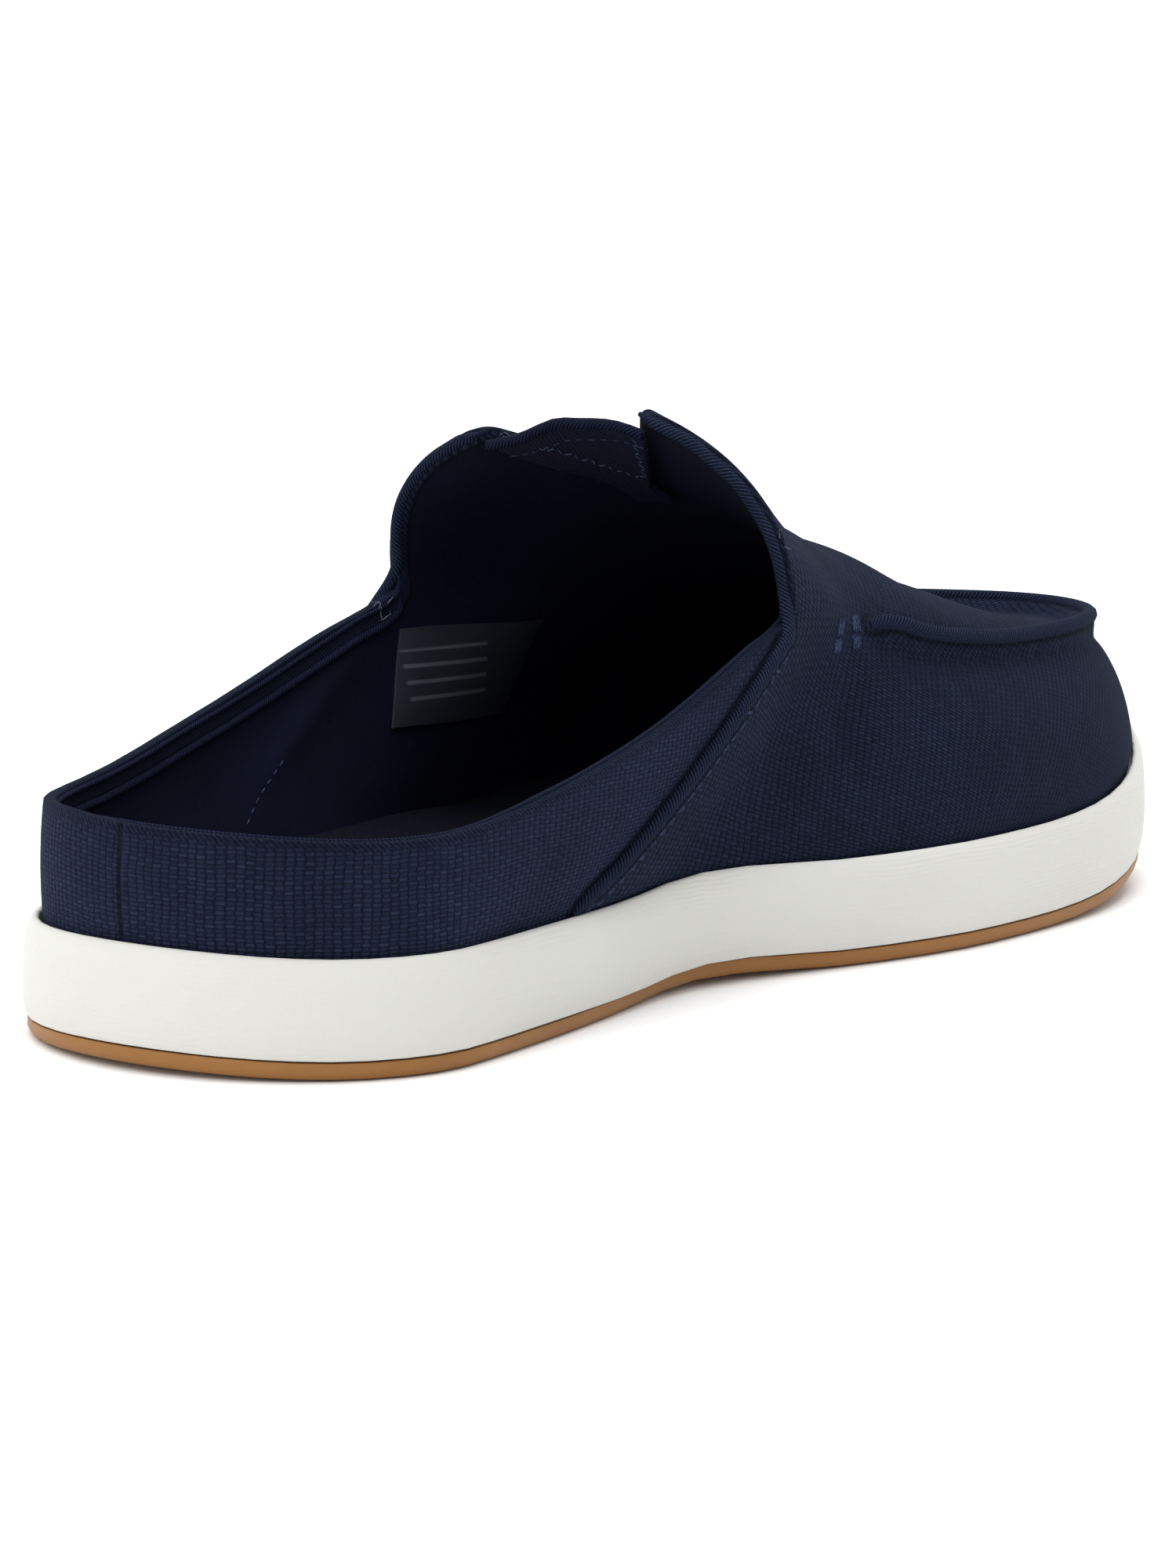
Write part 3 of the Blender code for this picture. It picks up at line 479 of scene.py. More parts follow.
def evenly(points, step):
    # The same line with its points a fixed step apart, on a smooth curve.
    points = np.array([tuple(point) for point in points])
    lengths = np.concatenate([[0.0], np.cumsum(np.linalg.norm(np.diff(points, axis=0), axis=1))])
    number = max(3, int(round(lengths[-1] / step)) + 1)
    wanted = np.linspace(0.0, lengths[-1], number)
    slopes = np.gradient(points, lengths, axis=0)
    row = np.clip(np.searchsorted(lengths, wanted) - 1, 0, len(points) - 2)
    span = (lengths[row + 1] - lengths[row])[:, None]
    k = (wanted - lengths[row])[:, None] / span
    start = (1 + 2 * k) * (1 - k) ** 2 * points[row] + k * (1 - k) ** 2 * span * slopes[row]
    end = k**2 * (3 - 2 * k) * points[row + 1] - k**2 * (1 - k) * span * slopes[row + 1]
    return [Vector(place) for place in start + end]


def surfaceOf(thing):
    return BVHTree.FromObject(thing, bpy.context.evaluated_depsgraph_get())


def lineOn(surface, line, aside=0.0, lift=0.0):
    # Lays a line on a surface, moved aside along it and lifted off it, with the surface's normals.
    laid = []
    for index, point in enumerate(line):
        ahead = line[min(index + 1, len(line) - 1)] - line[max(index - 1, 0)]
        place, normal = surface.find_nearest(point)[:2]
        if aside:
            sideways = ahead.cross(normal).normalized()
            place, normal = surface.find_nearest(place + sideways * aside + normal * 0.4 * mm)[:2]
        laid.append((place + normal * lift, normal))
    return laid


def tubeAlong(name, points, radius, material, endRadius=1.0):
    # A round tape or rolled edge along points, as a bevelled curve made into a mesh.
    curve = bpy.data.curves.new(name, "CURVE")
    curve.dimensions = "3D"
    curve.bevel_depth = radius
    curve.bevel_resolution = 3
    curve.use_fill_caps = True
    line = curve.splines.new("POLY")
    line.points.add(len(points) - 1)
    for index, (spot, place) in enumerate(zip(line.points, points)):
        fromEnd = min(index, len(points) - 1 - index) / 4
        spot.co = (*place, 1.0)
        spot.radius = endRadius + (1 - endRadius) * min(1.0, fromEnd)
    thing = bpy.data.objects.new(name, curve)
    bpy.context.scene.collection.objects.link(thing)
    only(thing)
    bpy.ops.object.convert(target="MESH")
    thing = bpy.context.object
    length = sum((b - a).length for a, b in zip(points, points[1:]))
    if not thing.data.uv_layers:
        thing.data.uv_layers.new()
    layer = thing.data.uv_layers[0]
    layer.name = "weave"
    for spot in layer.data:
        spot.uv = (spot.uv[0] * length / mm, spot.uv[1] * 2 * math.pi * radius / mm)
    thing.data.materials.append(material)
    bpy.ops.object.shade_smooth()
    finished(thing, None)
    return thing


def stitchesAlong(name, laid, stitch, material):
    # Separate thread stitches, each a short flattened bead, along a line that lies on a surface.
    bpy.ops.mesh.primitive_uv_sphere_add(segments=8, ring_count=6, radius=1.0)
    bead = bpy.context.object
    places = [place for place, normal in laid]
    normals = [normal for place, normal in laid]
    lengths = np.concatenate([[0.0], np.cumsum([(b - a).length for a, b in zip(places, places[1:])])])
    made = []
    half = stitch["length"] / 2
    for middle in np.arange(half, lengths[-1] - half * 0.9, stitch["length"] + stitch["gap"]):
        index = int(np.searchsorted(lengths, middle)) - 1
        index = min(max(index, 0), len(places) - 2)
        share = (middle - lengths[index]) / max(1e-9, lengths[index + 1] - lengths[index])
        place = places[index].lerp(places[index + 1], share)
        ahead = (places[index + 1] - places[index]).normalized()
        normal = normals[index]
        aside = normal.cross(ahead).normalized()
        if stitch.get("lean"):
            ahead = (ahead + aside * stitch["lean"] * (1 if len(made) % 2 else -1)).normalized()
            aside = normal.cross(ahead).normalized()
        normal = ahead.cross(aside)
        turn = Matrix((ahead, aside, normal)).transposed().to_4x4()
        size = Matrix.Diagonal((stitch["length"] / 2 * random.uniform(0.92, 1.06), stitch["radius"],
                                stitch["radius"] * 0.8, 1.0))
        copy = bead.copy()
        copy.data = bead.data.copy()
        copy.data.transform(Matrix.Translation(place) @ turn @ size)
        bpy.context.scene.collection.objects.link(copy)
        made.append(copy)
    bpy.data.objects.remove(bead)
    only(*made)
    bpy.ops.object.join()
    thing = bpy.context.object
    thing.name = name
    thing.data.materials.append(material)
    bpy.ops.object.shade_smooth()
    finished(thing, None)
    return thing


# Upper

def facesFrom(thing, point, sharpness):
    # Selects the face nearest to the point and all that join it without a sharp edge.
    mesh = thing.data
    bpy.ops.object.mode_set(mode="OBJECT")
    for face in mesh.polygons:
        face.select = False
    nearest = min(mesh.polygons, key=lambda face: (face.center - point).length)
    for vertex in mesh.vertices:
        vertex.select = False
    for edge in mesh.edges:
        edge.select = False
    nearest.select = True
    bpy.ops.object.mode_set(mode="EDIT")
    bpy.ops.mesh.select_mode(type="FACE")
    bpy.ops.mesh.faces_select_linked_flat(sharpness=sharpness)
    bpy.ops.object.mode_set(mode="OBJECT")
    return [face.index for face in mesh.polygons if face.select]


def sharpLoop(thing, point):
    # Selects the sharpest ridge edge near a point and the whole line of edges that runs on from it.
    mesh = thing.data
    beside = {}
    for face in mesh.polygons:
        for key in face.edge_keys:
            beside.setdefault(key, []).append(face)
    best, sharpest = None, 0.0
    for edge in mesh.edges:
        middle = (mesh.vertices[edge.vertices[0]].co + mesh.vertices[edge.vertices[1]].co) / 2
        pair = beside[edge.key]
        if (middle - point).length > upperLook["seamWithin"] or len(pair) != 2:
            continue
        angle = pair[0].normal.angle(pair[1].normal)
        ridge = (pair[1].center - pair[0].center).dot(pair[0].normal) < 0
        if ridge and angle > sharpest:
            best, sharpest = edge.index, angle
    only(thing)
    bpy.ops.object.mode_set(mode="EDIT")
    bpy.ops.mesh.select_mode(type="EDGE")
    bpy.ops.mesh.select_all(action="DESELECT")
    bpy.ops.object.mode_set(mode="OBJECT")
    thing.data.edges[best].select = True
    bpy.ops.object.mode_set(mode="EDIT")
    bpy.ops.mesh.loop_multi_select(ring=False)
    bpy.ops.object.mode_set(mode="OBJECT")
    return {edge.key for edge in thing.data.edges if edge.select}


def placesOf(mesh, chain):
    return [mesh.vertices[index].co.copy() for index in chain]


def markSeams(thing, inside, heel):
    # Cuts the canvas where a maker would: at the rim, along the raised toe seam and down the toe's tip.
    # Gives back the lines that later pieces follow: the rim, the overlap on both sides and the toe seam.
    mesh = thing.data
    insideFaces, heelFaces = set(inside), set(heel)
    inner = {vertex for index in inside for vertex in mesh.polygons[index].vertices}
    crest = sharpLoop(thing, upperLook["nearToeSeam"])
    groups = {}
    for face in mesh.polygons:
        group = "inside" if face.index in insideFaces else "heel" if face.index in heelFaces else "front"
        for key in face.edge_keys:
            groups.setdefault(key, []).append(group)
    rimPairs, crestPairs, overlaps = [], [], {-1: [], 1: []}
    for edge in mesh.edges:
        a, b = edge.vertices
        first, second = mesh.vertices[a].co, mesh.vertices[b].co
        beside = set(groups[edge.key])
        atRim = "inside" in beside and len(beside) > 1
        if atRim and min(first.z, second.z) > upperLook["rimAbove"]:
            rimPairs.append((a, b))
        alongCrest = edge.key in crest and "inside" not in beside
        if alongCrest and min(first.x, second.x) > upperLook["toeSeamFrom"]:
            crestPairs.append((a, b))
        steep = abs(first.z - second.z) > upperLook["overlapRise"] * (first - second).length
        back, fore = sorted((first.x, second.x))
        inReach = upperLook["overlapFrom"] < back and fore < upperLook["overlapTo"]
        if beside == {"heel", "front"} and inReach and steep:
            overlaps[1 if first.y > 0 else -1].append((a, b))
        aside = max(abs(point.y - upperLook["tipY"]) for point in (first, second))
        atTip = back > upperLook["tipFrom"] and aside < upperLook["tipHalf"]
        edge.use_seam = atRim or alongCrest or (atTip and a not in inner and b not in inner)
    lines = {"rim": placesOf(mesh, chainOf(rimPairs)), "crest": placesOf(mesh, chainOf(crestPairs))}
    rimPlaces = lines["rim"]
    for side, pairs in overlaps.items():
        line = placesOf(mesh, chainOf(pairs))
        clear = upperLook["clearOfRim"]
        line = [point for point in line if min((point - other).length for other in rimPlaces) > clear]
        line.sort(key=lambda point: point.z)
        lines["innerOverlap" if side < 0 else "outerOverlap"] = line
    for name, line in lines.items():
        print(name, len(line), [round(value * 1000, 1) for value in (*line[0], *line[-1])])
    return lines


def storeDistance(mesh, name, line, runName=None):
    # Keeps on each point of the mesh how far it is from a line, and how far along it, in millimetres.
    tree = KDTree(len(line))
    for index, place in enumerate(line):
        tree.insert(place, index)
    tree.balance()
    found = [tree.find(vertex.co)[1:] for vertex in mesh.vertices]
    gaps = np.array([min(gap / mm, upperLook["farthest"]) for index, gap in found])
    mesh.attributes.new(name, "FLOAT", "POINT").data.foreach_set("value", gaps)
    if runName:
        runs = np.array([index * lineStep / mm for index, gap in found])
        mesh.attributes.new(runName, "FLOAT", "POINT").data.foreach_set("value", runs)


def weaveMap(thing, heel, front, rimLine):
    # One unit of the map is a millimetre of canvas. The heel strip is laid along its length and its height,
    # the front panel is unwrapped, sized and turned until its threads stand upright on the inner side.
    only(thing)
    bpy.ops.object.mode_set(mode="EDIT")
    bpy.ops.mesh.select_all(action="SELECT")
    bpy.ops.uv.unwrap(method="ANGLE_BASED", margin=0.001)
    bpy.ops.object.mode_set(mode="OBJECT")
    mesh = thing.data
    uvLayer = mesh.uv_layers.active
    uvLayer.name = "weave"
    uvs = np.empty(len(mesh.loops) * 2)
    uvLayer.data.foreach_get("uv", uvs)
    uvs = uvs.reshape(-1, 2)
    corners = np.array([mesh.vertices[loop.vertex_index].co for loop in mesh.loops])
    step = 0.25 * mm
    ring = evenly([Vector((point.x, point.y, 0)) for point in rimLine], step)
    tree = KDTree(len(ring))
    for index, place in enumerate(ring):
        tree.insert(place, index)
    tree.balance()
    for index in heel:
        for loop in mesh.polygons[index].loop_indices:
            place = corners[loop]
            uvs[loop] = (tree.find((place[0], place[1], 0))[1] * step / mm, place[2] / mm)
    for faces in joinedFaces(mesh, front):
        onSide = [index for index in faces if abs(mesh.polygons[index].normal.z) < 0.6
                  and mesh.polygons[index].center.y < -20 * mm]
        loops, real, flat = edgesOf(mesh, faces, corners, uvs)
        size = np.linalg.norm(real, axis=1).sum() / np.linalg.norm(flat, axis=1).sum() / mm
        real, flat = edgesOf(mesh, onSide or faces, corners, uvs)[1:]
        rise = real[:, 2]
        upright = math.atan2((rise * flat[:, 0]).sum(), (rise * flat[:, 1]).sum())
        angle = upright + math.radians(cloth["lean"])
        turn = np.array([[math.cos(angle), math.sin(angle)], [-math.sin(angle), math.cos(angle)]])
        uvs[loops] = uvs[loops] @ turn * size
    uvLayer.data.foreach_set("uv", uvs.ravel())


def edgesOf(mesh, faces, corners, uvs):
    # The loops of some faces, and their edges in space and on the map.
    loops = np.array([k for index in faces for k in mesh.polygons[index].loop_indices])
    following = np.array([mesh.polygons[index].loop_indices[(k + 1) % mesh.polygons[index].loop_total]
                          for index in faces for k in range(mesh.polygons[index].loop_total)])
    return loops, corners[following] - corners[loops], uvs[following] - uvs[loops]


def joinedFaces(mesh, chosen):
    # Splits the chosen faces into islands that no seam crosses.
    beside = {}
    seams = {tuple(sorted(edge.vertices)) for edge in mesh.edges if edge.use_seam}
    for index in chosen:
        for key in mesh.polygons[index].edge_keys:
            if tuple(sorted(key)) not in seams:
                beside.setdefault(tuple(sorted(key)), []).append(index)
    links = {index: set() for index in chosen}
    for pair in beside.values():
        for index in pair:
            links[index].update(pair)
    islands, left = [], set(chosen)
    while left:
        island, waiting = set(), [left.pop()]
        while waiting:
            index = waiting.pop()
            island.add(index)
            more = links[index] - island
            waiting.extend(more)
            island |= more
        left -= island
        islands.append(sorted(island))
    return islands


def crease(thing, folds):
    # Soft troughs and ridges pressed into the canvas, wall and lining together.
    mesh = thing.data
    inward = np.zeros(len(mesh.vertices), bool)
    for face in mesh.polygons:
        if face.material_index == 2:
            inward[list(face.vertices)] = True
    places = np.array([vertex.co for vertex in mesh.vertices])
    normals = np.array([vertex.normal for vertex in mesh.vertices])
    normals[inward] *= -1
    moves = np.zeros_like(places)
    for fold in folds:
        start, end = (np.array(fold[key]) * mm for key in ("start", "end"))
        if "push" not in fold:
            start, end = (places[np.linalg.norm(places - point, axis=1).argmin()] for point in (start, end))
        span = end - start
        share = np.clip((places - start) @ span / (span @ span), 0, 1)
        gap = np.linalg.norm(places - start - share[:, None] * span, axis=1)
        fade = np.sin(np.pi * np.clip(share, 0.06, 0.94)) ** 0.5
        press = fold["height"] * mm * np.exp(-(gap / (fold["width"] * mm)) ** 2) * fade
        push = np.array(fold["push"]) if "push" in fold else normals
        moves += press[:, None] * push
    mesh.vertices.foreach_set("co", (places + moves).ravel())
    mesh.update()


folds = [
    # The outer side's collar stands a little higher, and the outer wing a little lower.
    {"start": (-140, 22, 38), "end": (-10, 42, 64), "width": 15, "height": 2.8, "push": (0.0, 0.0, 1.0)},
    {"start": (-18, 42, 60), "end": (-8, 24, 90), "width": 13, "height": 2.2, "push": (0.0, -0.35, -0.94)},
    # The outer overlap shows through the lining as a soft ridge.
    {"start": (-26, 43, 50.5), "end": (-57, 40.4, 32), "width": 2.6, "height": 0.7, "push": (0, -1, 0.2)},
    # Hollow under the toe seam, on both sides.
    {"start": (26, -35, 50), "end": (78, -41, 43), "width": 5.5, "height": -0.9},
    {"start": (30, 42, 52), "end": (78, 46, 45), "width": 5.5, "height": -0.8},
    # Pull lines that run down from the bar tack.
    {"start": (14, -35, 51), "end": (5, -38, 36), "width": 4.5, "height": -0.8},
    {"start": (23, -35, 47), "end": (15, -39, 33), "width": 5.0, "height": 0.55},
    # Shallow bends across the vamp, where the foot flexes.
    {"start": (33, -24, 68), "end": (37, 4, 73), "width": 6.0, "height": -0.7},
    {"start": (46, -26, 64), "end": (49, 8, 68), "width": 6.0, "height": 0.5},
    {"start": (60, -27, 60), "end": (63, 12, 63), "width": 7.0, "height": -0.6},
    # Slack in the heel strip beside the overlap.
    {"start": (-88, -36, 38), "end": (-93, -37, 22), "width": 6.0, "height": -0.45},
    {"start": (-108, -36, 34), "end": (-112, -37, 22), "width": 6.5, "height": 0.35},
]


def makeUpper():
    upper = copyOf("upper", "canvas_upper")
    for material in (frontCanvas, paintedLighterHeelCanvas, lining):
        upper.data.materials.append(material)
    mesh = upper.data
    inside = facesFrom(upper, upperLook["seedInside"], math.radians(38))
    heel = facesFrom(upper, upperLook["seedHeel"], math.radians(30))
    heel = sorted(set(heel) - set(inside))
    lines = markSeams(upper, inside, heel)
    # The turned-in foot joins both panels smoothly, so the overlap's slanted line shares out its faces.
    foot, slope = upperLook["overlapFoot"], upperLook["overlapSlope"]
    centres = {index: mesh.polygons[index].center.copy() for index in heel}
    heel = [index for index in heel if centres[index].x < foot.x + (centres[index].z - foot.z) * slope]
    front = set(range(len(mesh.polygons))) - set(heel) - set(inside)
    for index in inside:
        mesh.polygons[index].material_index = 2
    for index in heel:
        mesh.polygons[index].material_index = 1
    frontPoint = max(range(len(lines["rim"])), key=lambda k: lines["rim"][k].x)
    weaveMap(upper, heel, front, lines["rim"][frontPoint:] + lines["rim"][:frontPoint])
    applied(upper, "SUBSURF", levels=upperLook["subdivisions"], render_levels=upperLook["subdivisions"])
    crease(upper, folds)
    loop = evenly(lines["rim"] + lines["rim"][:1], lineStep)
    wall = surfaceOf(upper)
    storeDistance(upper.data, "rim", loop)
    overlaps = evenly(lines["innerOverlap"], lineStep) + evenly(lines["outerOverlap"], lineStep)
    storeDistance(upper.data, "overlay", overlaps)
    outerEnd = [Vector(point) * mm for point in upperLook["outerSeamEnd"]]
    lines["crest"] = evenly(lines["crest"] + outerEnd, lineStep)
    storeDistance(upper.data, "crest", lines["crest"], "seamRun")
    only(upper)
    bpy.ops.object.shade_smooth()
    finished(upper, "upper")
    return upper, lines, wall


upper, lines, wall = makeUpper()
print("upper made:", len(upper.data.polygons), "faces")


# Rolled edges, tapes and seams on the upper

edges = {
    "overlapRoll": 1.15 * mm,
    "overlapAside": 0.8 * mm,
    "overlapLift": 0.05 * mm,
    "wingSink": -0.45 * mm,
    "overlapStitchAside": 4.4 * mm,
    "seamRoll": 1.5 * mm,
    "seamSink": -0.35 * mm,
    "tape": 0.5 * mm,
    "innerRidge": 0.75 * mm,
    "innerRidgeDown": 3.4 * mm,
    "innerRidgeIn": 1.2 * mm,
    "innerRidgeBelow": 66 * mm,
    "wingGap": 4 * mm,
    "notchAbove": 80 * mm,
    "notchFrom": -14.5 * mm,
    "notchSides": (-11.5 * mm, 22.5 * mm),
    "shownThrough": [(-52, 40.7, 35), (-60.4, 39.5, 29.4), (-66.2, 38.0, 24.7)],
}
topStitch = {"length": 2.3 * mm, "gap": 0.8 * mm, "radius": 0.34 * mm}
overlock = {"length": 1.5 * mm, "gap": 0.15 * mm, "radius": 0.16 * mm, "lean": 0.9}
fineStitch = {"length": 1.7 * mm, "gap": 0.8 * mm, "radius": 0.14 * mm}


def atNotch(point):
    near, far = edges["notchSides"]
    return point.z > edges["notchAbove"] and point.x > edges["notchFrom"] and near < point.y < far


def openRim(rimLine):
    # The rim without the notch, from one wing's corner round the heel to the other's.
    inNotch = [atNotch(point) for point in rimLine]
    first = next(k for k in range(len(rimLine)) if inNotch[k] and not inNotch[(k + 1) % len(rimLine)])
    turned = rimLine[first + 1:] + rimLine[:first + 1]
    flags = inNotch[first + 1:] + inNotch[:first + 1]
    last = next(k for k in range(len(turned)) if flags[k])
    return turned[:last]


def makeEdges():
    rim = evenly(openRim(lines["rim"]), lineStep * 2)
    for side, key, sign in (("inner", "innerOverlap", 1), ("outer", "outerOverlap", -1)):
        line = evenly(lines[key], lineStep * 2)
        laid = lineOn(wall, line, aside=sign * edges["overlapAside"], lift=edges["overlapLift"])
        fold = [place for place, normal in laid]
        wing = [point for point in rim if point.y * sign < 0 and point.z > fold[-1].z + edges["wingGap"]]
        wing.sort(key=lambda point: point.z)
        fold += [place for place, normal in lineOn(wall, wing, lift=edges["wingSink"])]
        path = evenly(fold[::4], lineStep * 2)
        tubeAlong(side + "_overlap_fold", path, edges["overlapRoll"], rolledCanvas, endRadius=0.7)
        laid = lineOn(wall, line[2:], aside=sign * edges["overlapStitchAside"], lift=0.05 * mm)
        stitchesAlong(side + "_overlap_stitches", laid, topStitch, seamThread)
    laid = lineOn(wall, lines["crest"][::2], lift=edges["seamSink"])
    tubeAlong("toe_seam_roll", [place for place, normal in laid], edges["seamRoll"], rolledCanvas,
              endRadius=0.5)
    laid = lineOn(wall, rim, lift=0.05 * mm)
    tubeAlong("lining_edge_tape", [place for place, normal in laid], edges["tape"], liningTape)
    middle = Vector((-60, 0, 45)) * mm
    down = []
    for point in rim:
        if point.z < edges["innerRidgeBelow"]:
            inward = middle - point
            inward.z = 0
            inward = inward.normalized() * edges["innerRidgeIn"]
            down.append(wall.find_nearest(point + inward - Vector((0, 0, edges["innerRidgeDown"])))[0])
    tubeAlong("inner_facing_ridge", down, edges["innerRidge"], liningTape, endRadius=0.3)
    shown = [Vector(point) * mm for point in edges["shownThrough"]]
    laid = lineOn(wall, evenly(shown, lineStep), lift=0.08 * mm)
    stitchesAlong("inner_wall_stitches", laid, fineStitch, greyThread)


makeEdges()


barTack = {
    "stations": (11.5, 19.0),
    "heights": (54.0, 60.8),
    "middle": 57 * mm,
    "lean": 0.12,
    "strands": 4,
    "apart": 0.72,
    "lift": 0.12 * mm,
    "lookFrom": 90 * mm,
    "stitch": {"length": 3.3 * mm, "gap": 0.1 * mm, "radius": 0.30 * mm},
}


def makeBarTack(name, side):
    # Two short ladders of upright stitches that close the end of the toe seam.
    rows = []
    for station in barTack["stations"]:
        for k in range(barTack["strands"]):
            x = (station + (k - (barTack["strands"] - 1) / 2) * barTack["apart"]) * mm
            points = []
            for z in np.linspace(*barTack["heights"], 8) * mm:
                start = Vector((x + (z - barTack["middle"]) * barTack["lean"], side * barTack["lookFrom"], z))
                place, normal = wall.ray_cast(start, Vector((0, -side, 0)))[:2]
                points.append((place + normal * barTack["lift"], normal))
            rows.append(points)
    made = []
    for k, points in enumerate(rows):
        made.append(stitchesAlong(name + str(k), points, barTack["stitch"], seamThread))
    only(*made)
    bpy.ops.object.join()
    bpy.context.object.name = name


makeBarTack("inner_bar_tack", -1)
makeBarTack("outer_bar_tack", 1)


fray = {
    "spread": 1.6 * mm,
    "stray": 0.7,
    "curl": 0.35,
    "droop": 0.18,
    "parts": 7,
    "root": 0.3 * mm,
    "step": 0.3 * mm,
    "radius": 0.09 * mm,
}


def makeFray(name, middle, count, length):
    # A few loose yarn ends that stand off a worn edge.
    threads = []
    for k in range(count):
        seed = Vector(middle) * mm + Vector(noise.normal(0, 1, 3)) * fray["spread"]
        place, normal = wall.find_nearest(seed)[:2]
        heading = (normal + Vector(noise.normal(0, fray["stray"], 3))).normalized()
        points = [place - heading * fray["root"]]
        for part in range(fray["parts"]):
            turn = Vector(noise.normal(0, fray["curl"], 3)) - normal * fray["droop"]
            heading = (heading + turn).normalized()
            points.append(points[-1] + heading * length * mm * noise.uniform(0.7, 1.2) / fray["parts"])
        path = evenly(points, fray["step"])
        threads.append(tubeAlong(name + str(k), path, fray["radius"], paleThread, endRadius=0.5))
    only(*threads)
    bpy.ops.object.join()
    bpy.context.object.name = name


makeFray("outer_wing_fray", (-18.2, 43.0, 58.0), 6, 3.2)
makeFray("inner_wing_fray", (-12.7, -35.4, 76.0), 6, 1.9)
makeFray("notch_fray", (-16.6, 19.3, 91.1), 4, 2.2)
print("edges and seams made")


# Sole

def roundedCopy(nodeName, newName, material, width):
    thing = copyOf(nodeName, newName)
    thing.data.materials.append(material)
    applied(thing, "BEVEL", width=width, segments=3, limit_method="ANGLE", angle_limit=math.radians(35))
    only(thing)
    bpy.ops.object.shade_smooth_by_angle(angle=math.radians(40))
    finished(thing, nodeName)
    return thing


roundedCopy("midsole", "foam_midsole", foam, 0.4 * mm)
roundedCopy("outsole", "gum_outsole", gum, 0.3 * mm)
roundedCopy("insole", "fabric_footbed", footbed, 0.4 * mm)
gore = roundedCopy("gore", "elastic_gore", elastic, 0.2 * mm)
roundedCopy("size_label", "blank_label", satinLabel, 0.08 * mm)
print("sole, gore and label made")


# Gore's rolled top and its seams

goreLook = {
    "roll": 0.95 * mm,
    "rollSeat": Vector((0.6, 0, -0.35)) * mm,
    "searchFrom": -24,
    "searchTo": 4,
    "searchStep": 0.15,
    "stations": 24,
    "inset": 0.4 * mm,
    "stitchesBelow": Vector((3.0, 0, -4.0)) * mm,
    "seam": [(-12.5, 19.5, 90.8), (-13.1, 11.6, 89.2), (-6.9, 5.6, 86.8), (-2.4, -0.6, 84.4),
             (-11.9, -6.2, 90.2), (-16.0, -8.5, 93.9)],
}


def backEdge(surface, across):
    # The gore's back edge, found by looking down on it from heel to toe.
    for x in np.arange(goreLook["searchFrom"], goreLook["searchTo"], goreLook["searchStep"]):
        place = surface.ray_cast(Vector((x * mm, across, 0.2)), Vector((0, 0, -1)))[0]
        if place is not None:
            return place + goreLook["rollSeat"]
    return None


def makeGoreTrim():
    surface = surfaceOf(gore)
    sides = np.array(gore.bound_box)[:, 1]
    near, far = sides.min() + goreLook["inset"], sides.max() - goreLook["inset"]
    edge = [backEdge(surface, y) for y in np.linspace(near, far, goreLook["stations"])]
    edge = evenly([point for point in edge if point], lineStep * 2)
    tubeAlong("gore_rolled_top", edge, goreLook["roll"], elasticRoll)
    below = [surface.find_nearest(point + goreLook["stitchesBelow"]) for point in edge[2:-2]]
    laid = [(hit[0] + hit[1] * 0.05 * mm, hit[1]) for hit in below]
    stitchesAlong("gore_top_stitches", laid, fineStitch, seamThread)
    line = evenly([Vector(point) * mm for point in goreLook["seam"]], lineStep)
    found = [surface.find_nearest(point) for point in line]
    laid = [(hit[0] + hit[1] * 0.1 * mm, hit[1]) for hit in found]
    stitchesAlong("gore_overlock_seam", laid, overlock, greyThread)


makeGoreTrim()


# Floor, light and camera

studio = {
    "floorSize": 60.0,  # so large that its edge meets the white room at the horizon
    "dimToward": (0.35, -0.93, 0.1),
    "dimFrom": 0.2,
    "dimTo": 0.45,
    "key": 2.0,
    "top": 19.0,
    "exposure": 0.30,
}


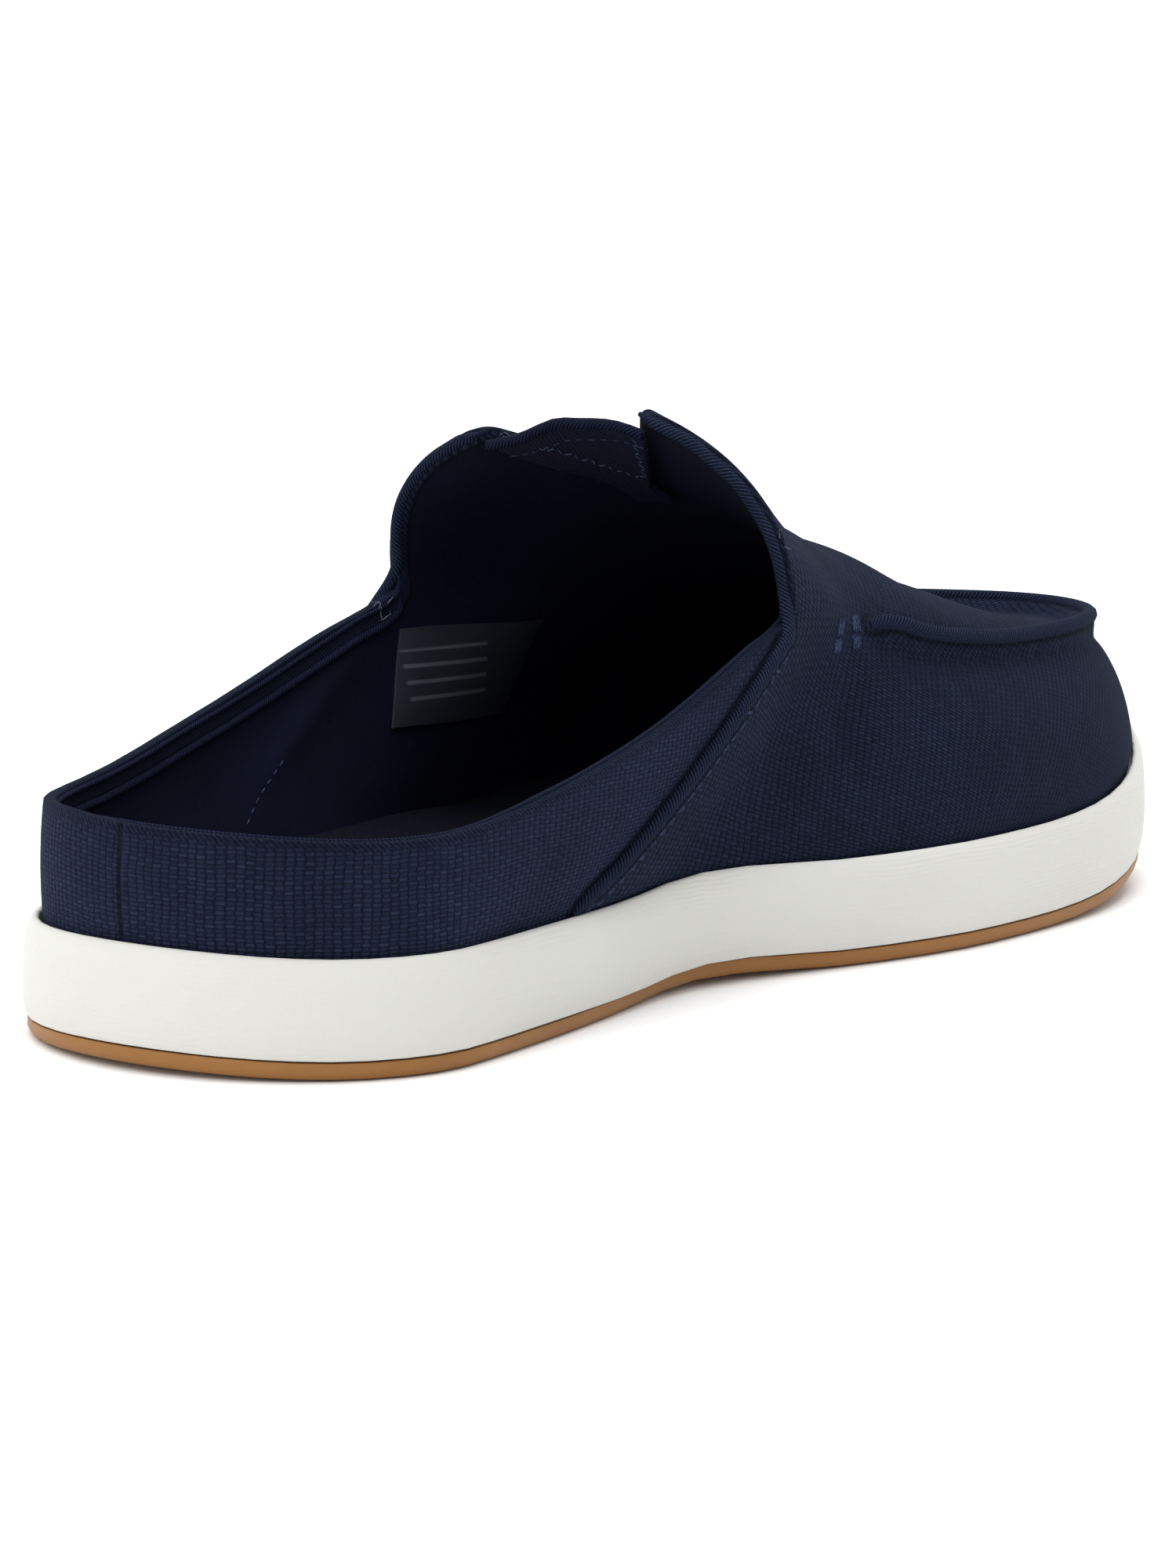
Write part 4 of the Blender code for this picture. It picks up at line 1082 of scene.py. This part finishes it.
def makeStage():
    bpy.ops.mesh.primitive_plane_add(size=studio["floorSize"], location=(0, 0, 0))
    floor = bpy.context.object
    floor.name = "studio_floor"
    material, tree, shader = newMaterial("white_paper_sweep")
    shader.inputs["Base Color"].default_value = (0.97, 0.97, 0.97, 1.0)
    shader.inputs["Roughness"].default_value = 0.95
    shader.inputs["Specular IOR Level"].default_value = 0.1
    floor.data.materials.append(material)
    # A white room that is dimmer on the shoe's inner side.
    world = bpy.data.worlds.new("white_studio")
    bpy.context.scene.world = world
    world.use_nodes = True
    tree = world.node_tree
    toward = add(tree, "TexCoord").outputs["Generated"]
    facing = add(tree, "VectorMath", {0: toward, 1: studio["dimToward"]}, operation="DOT_PRODUCT")
    level = ramp(tree, facing.outputs["Value"], studio["dimFrom"], 1.0, 1.0, studio["dimTo"])
    tree.nodes["Background"].inputs["Color"].default_value = (1.0, 1.0, 1.0, 1.0)
    tree.links.new(level, tree.nodes["Background"].inputs["Strength"])


def addSoftbox(name, place, aim, size, power):
    light = bpy.data.lights.new(name, "AREA")
    light.shape = "RECTANGLE"
    light.size, light.size_y = size
    light.energy = power
    thing = bpy.data.objects.new(name, light)
    bpy.context.scene.collection.objects.link(thing)
    thing.location = place
    thing.rotation_euler = (Vector(aim) - Vector(place)).to_track_quat("-Z", "Y").to_euler()


cameraSet = {
    "place": Vector((-736.1, -474.0, 160.5)) * mm,
    "turn": (81.431, -1.032, -56.490),
    "lens": 112.8,
}


def addCamera():
    camera = bpy.data.cameras.new("photo_camera")
    camera.lens = cameraSet["lens"]
    camera.sensor_width = 36.0
    camera.clip_start = 0.05
    thing = bpy.data.objects.new("photo_camera", camera)
    bpy.context.scene.collection.objects.link(thing)
    thing.location = cameraSet["place"]
    thing.rotation_euler = [math.radians(angle) for angle in cameraSet["turn"]]
    bpy.context.scene.camera = thing


makeStage()
addSoftbox("key_softbox", (-1.2, 0.1, 1.0), (-0.05, 0, 0.05), (0.7, 0.7), studio["key"])
addSoftbox("top_softbox", (0.2, 0.1, 1.7), (0, 0, 0.05), (1.6, 1.2), studio["top"])
addCamera()
bpy.context.scene.view_settings.view_transform = "Standard"
bpy.context.scene.view_settings.exposure = studio["exposure"]
print("stage set")
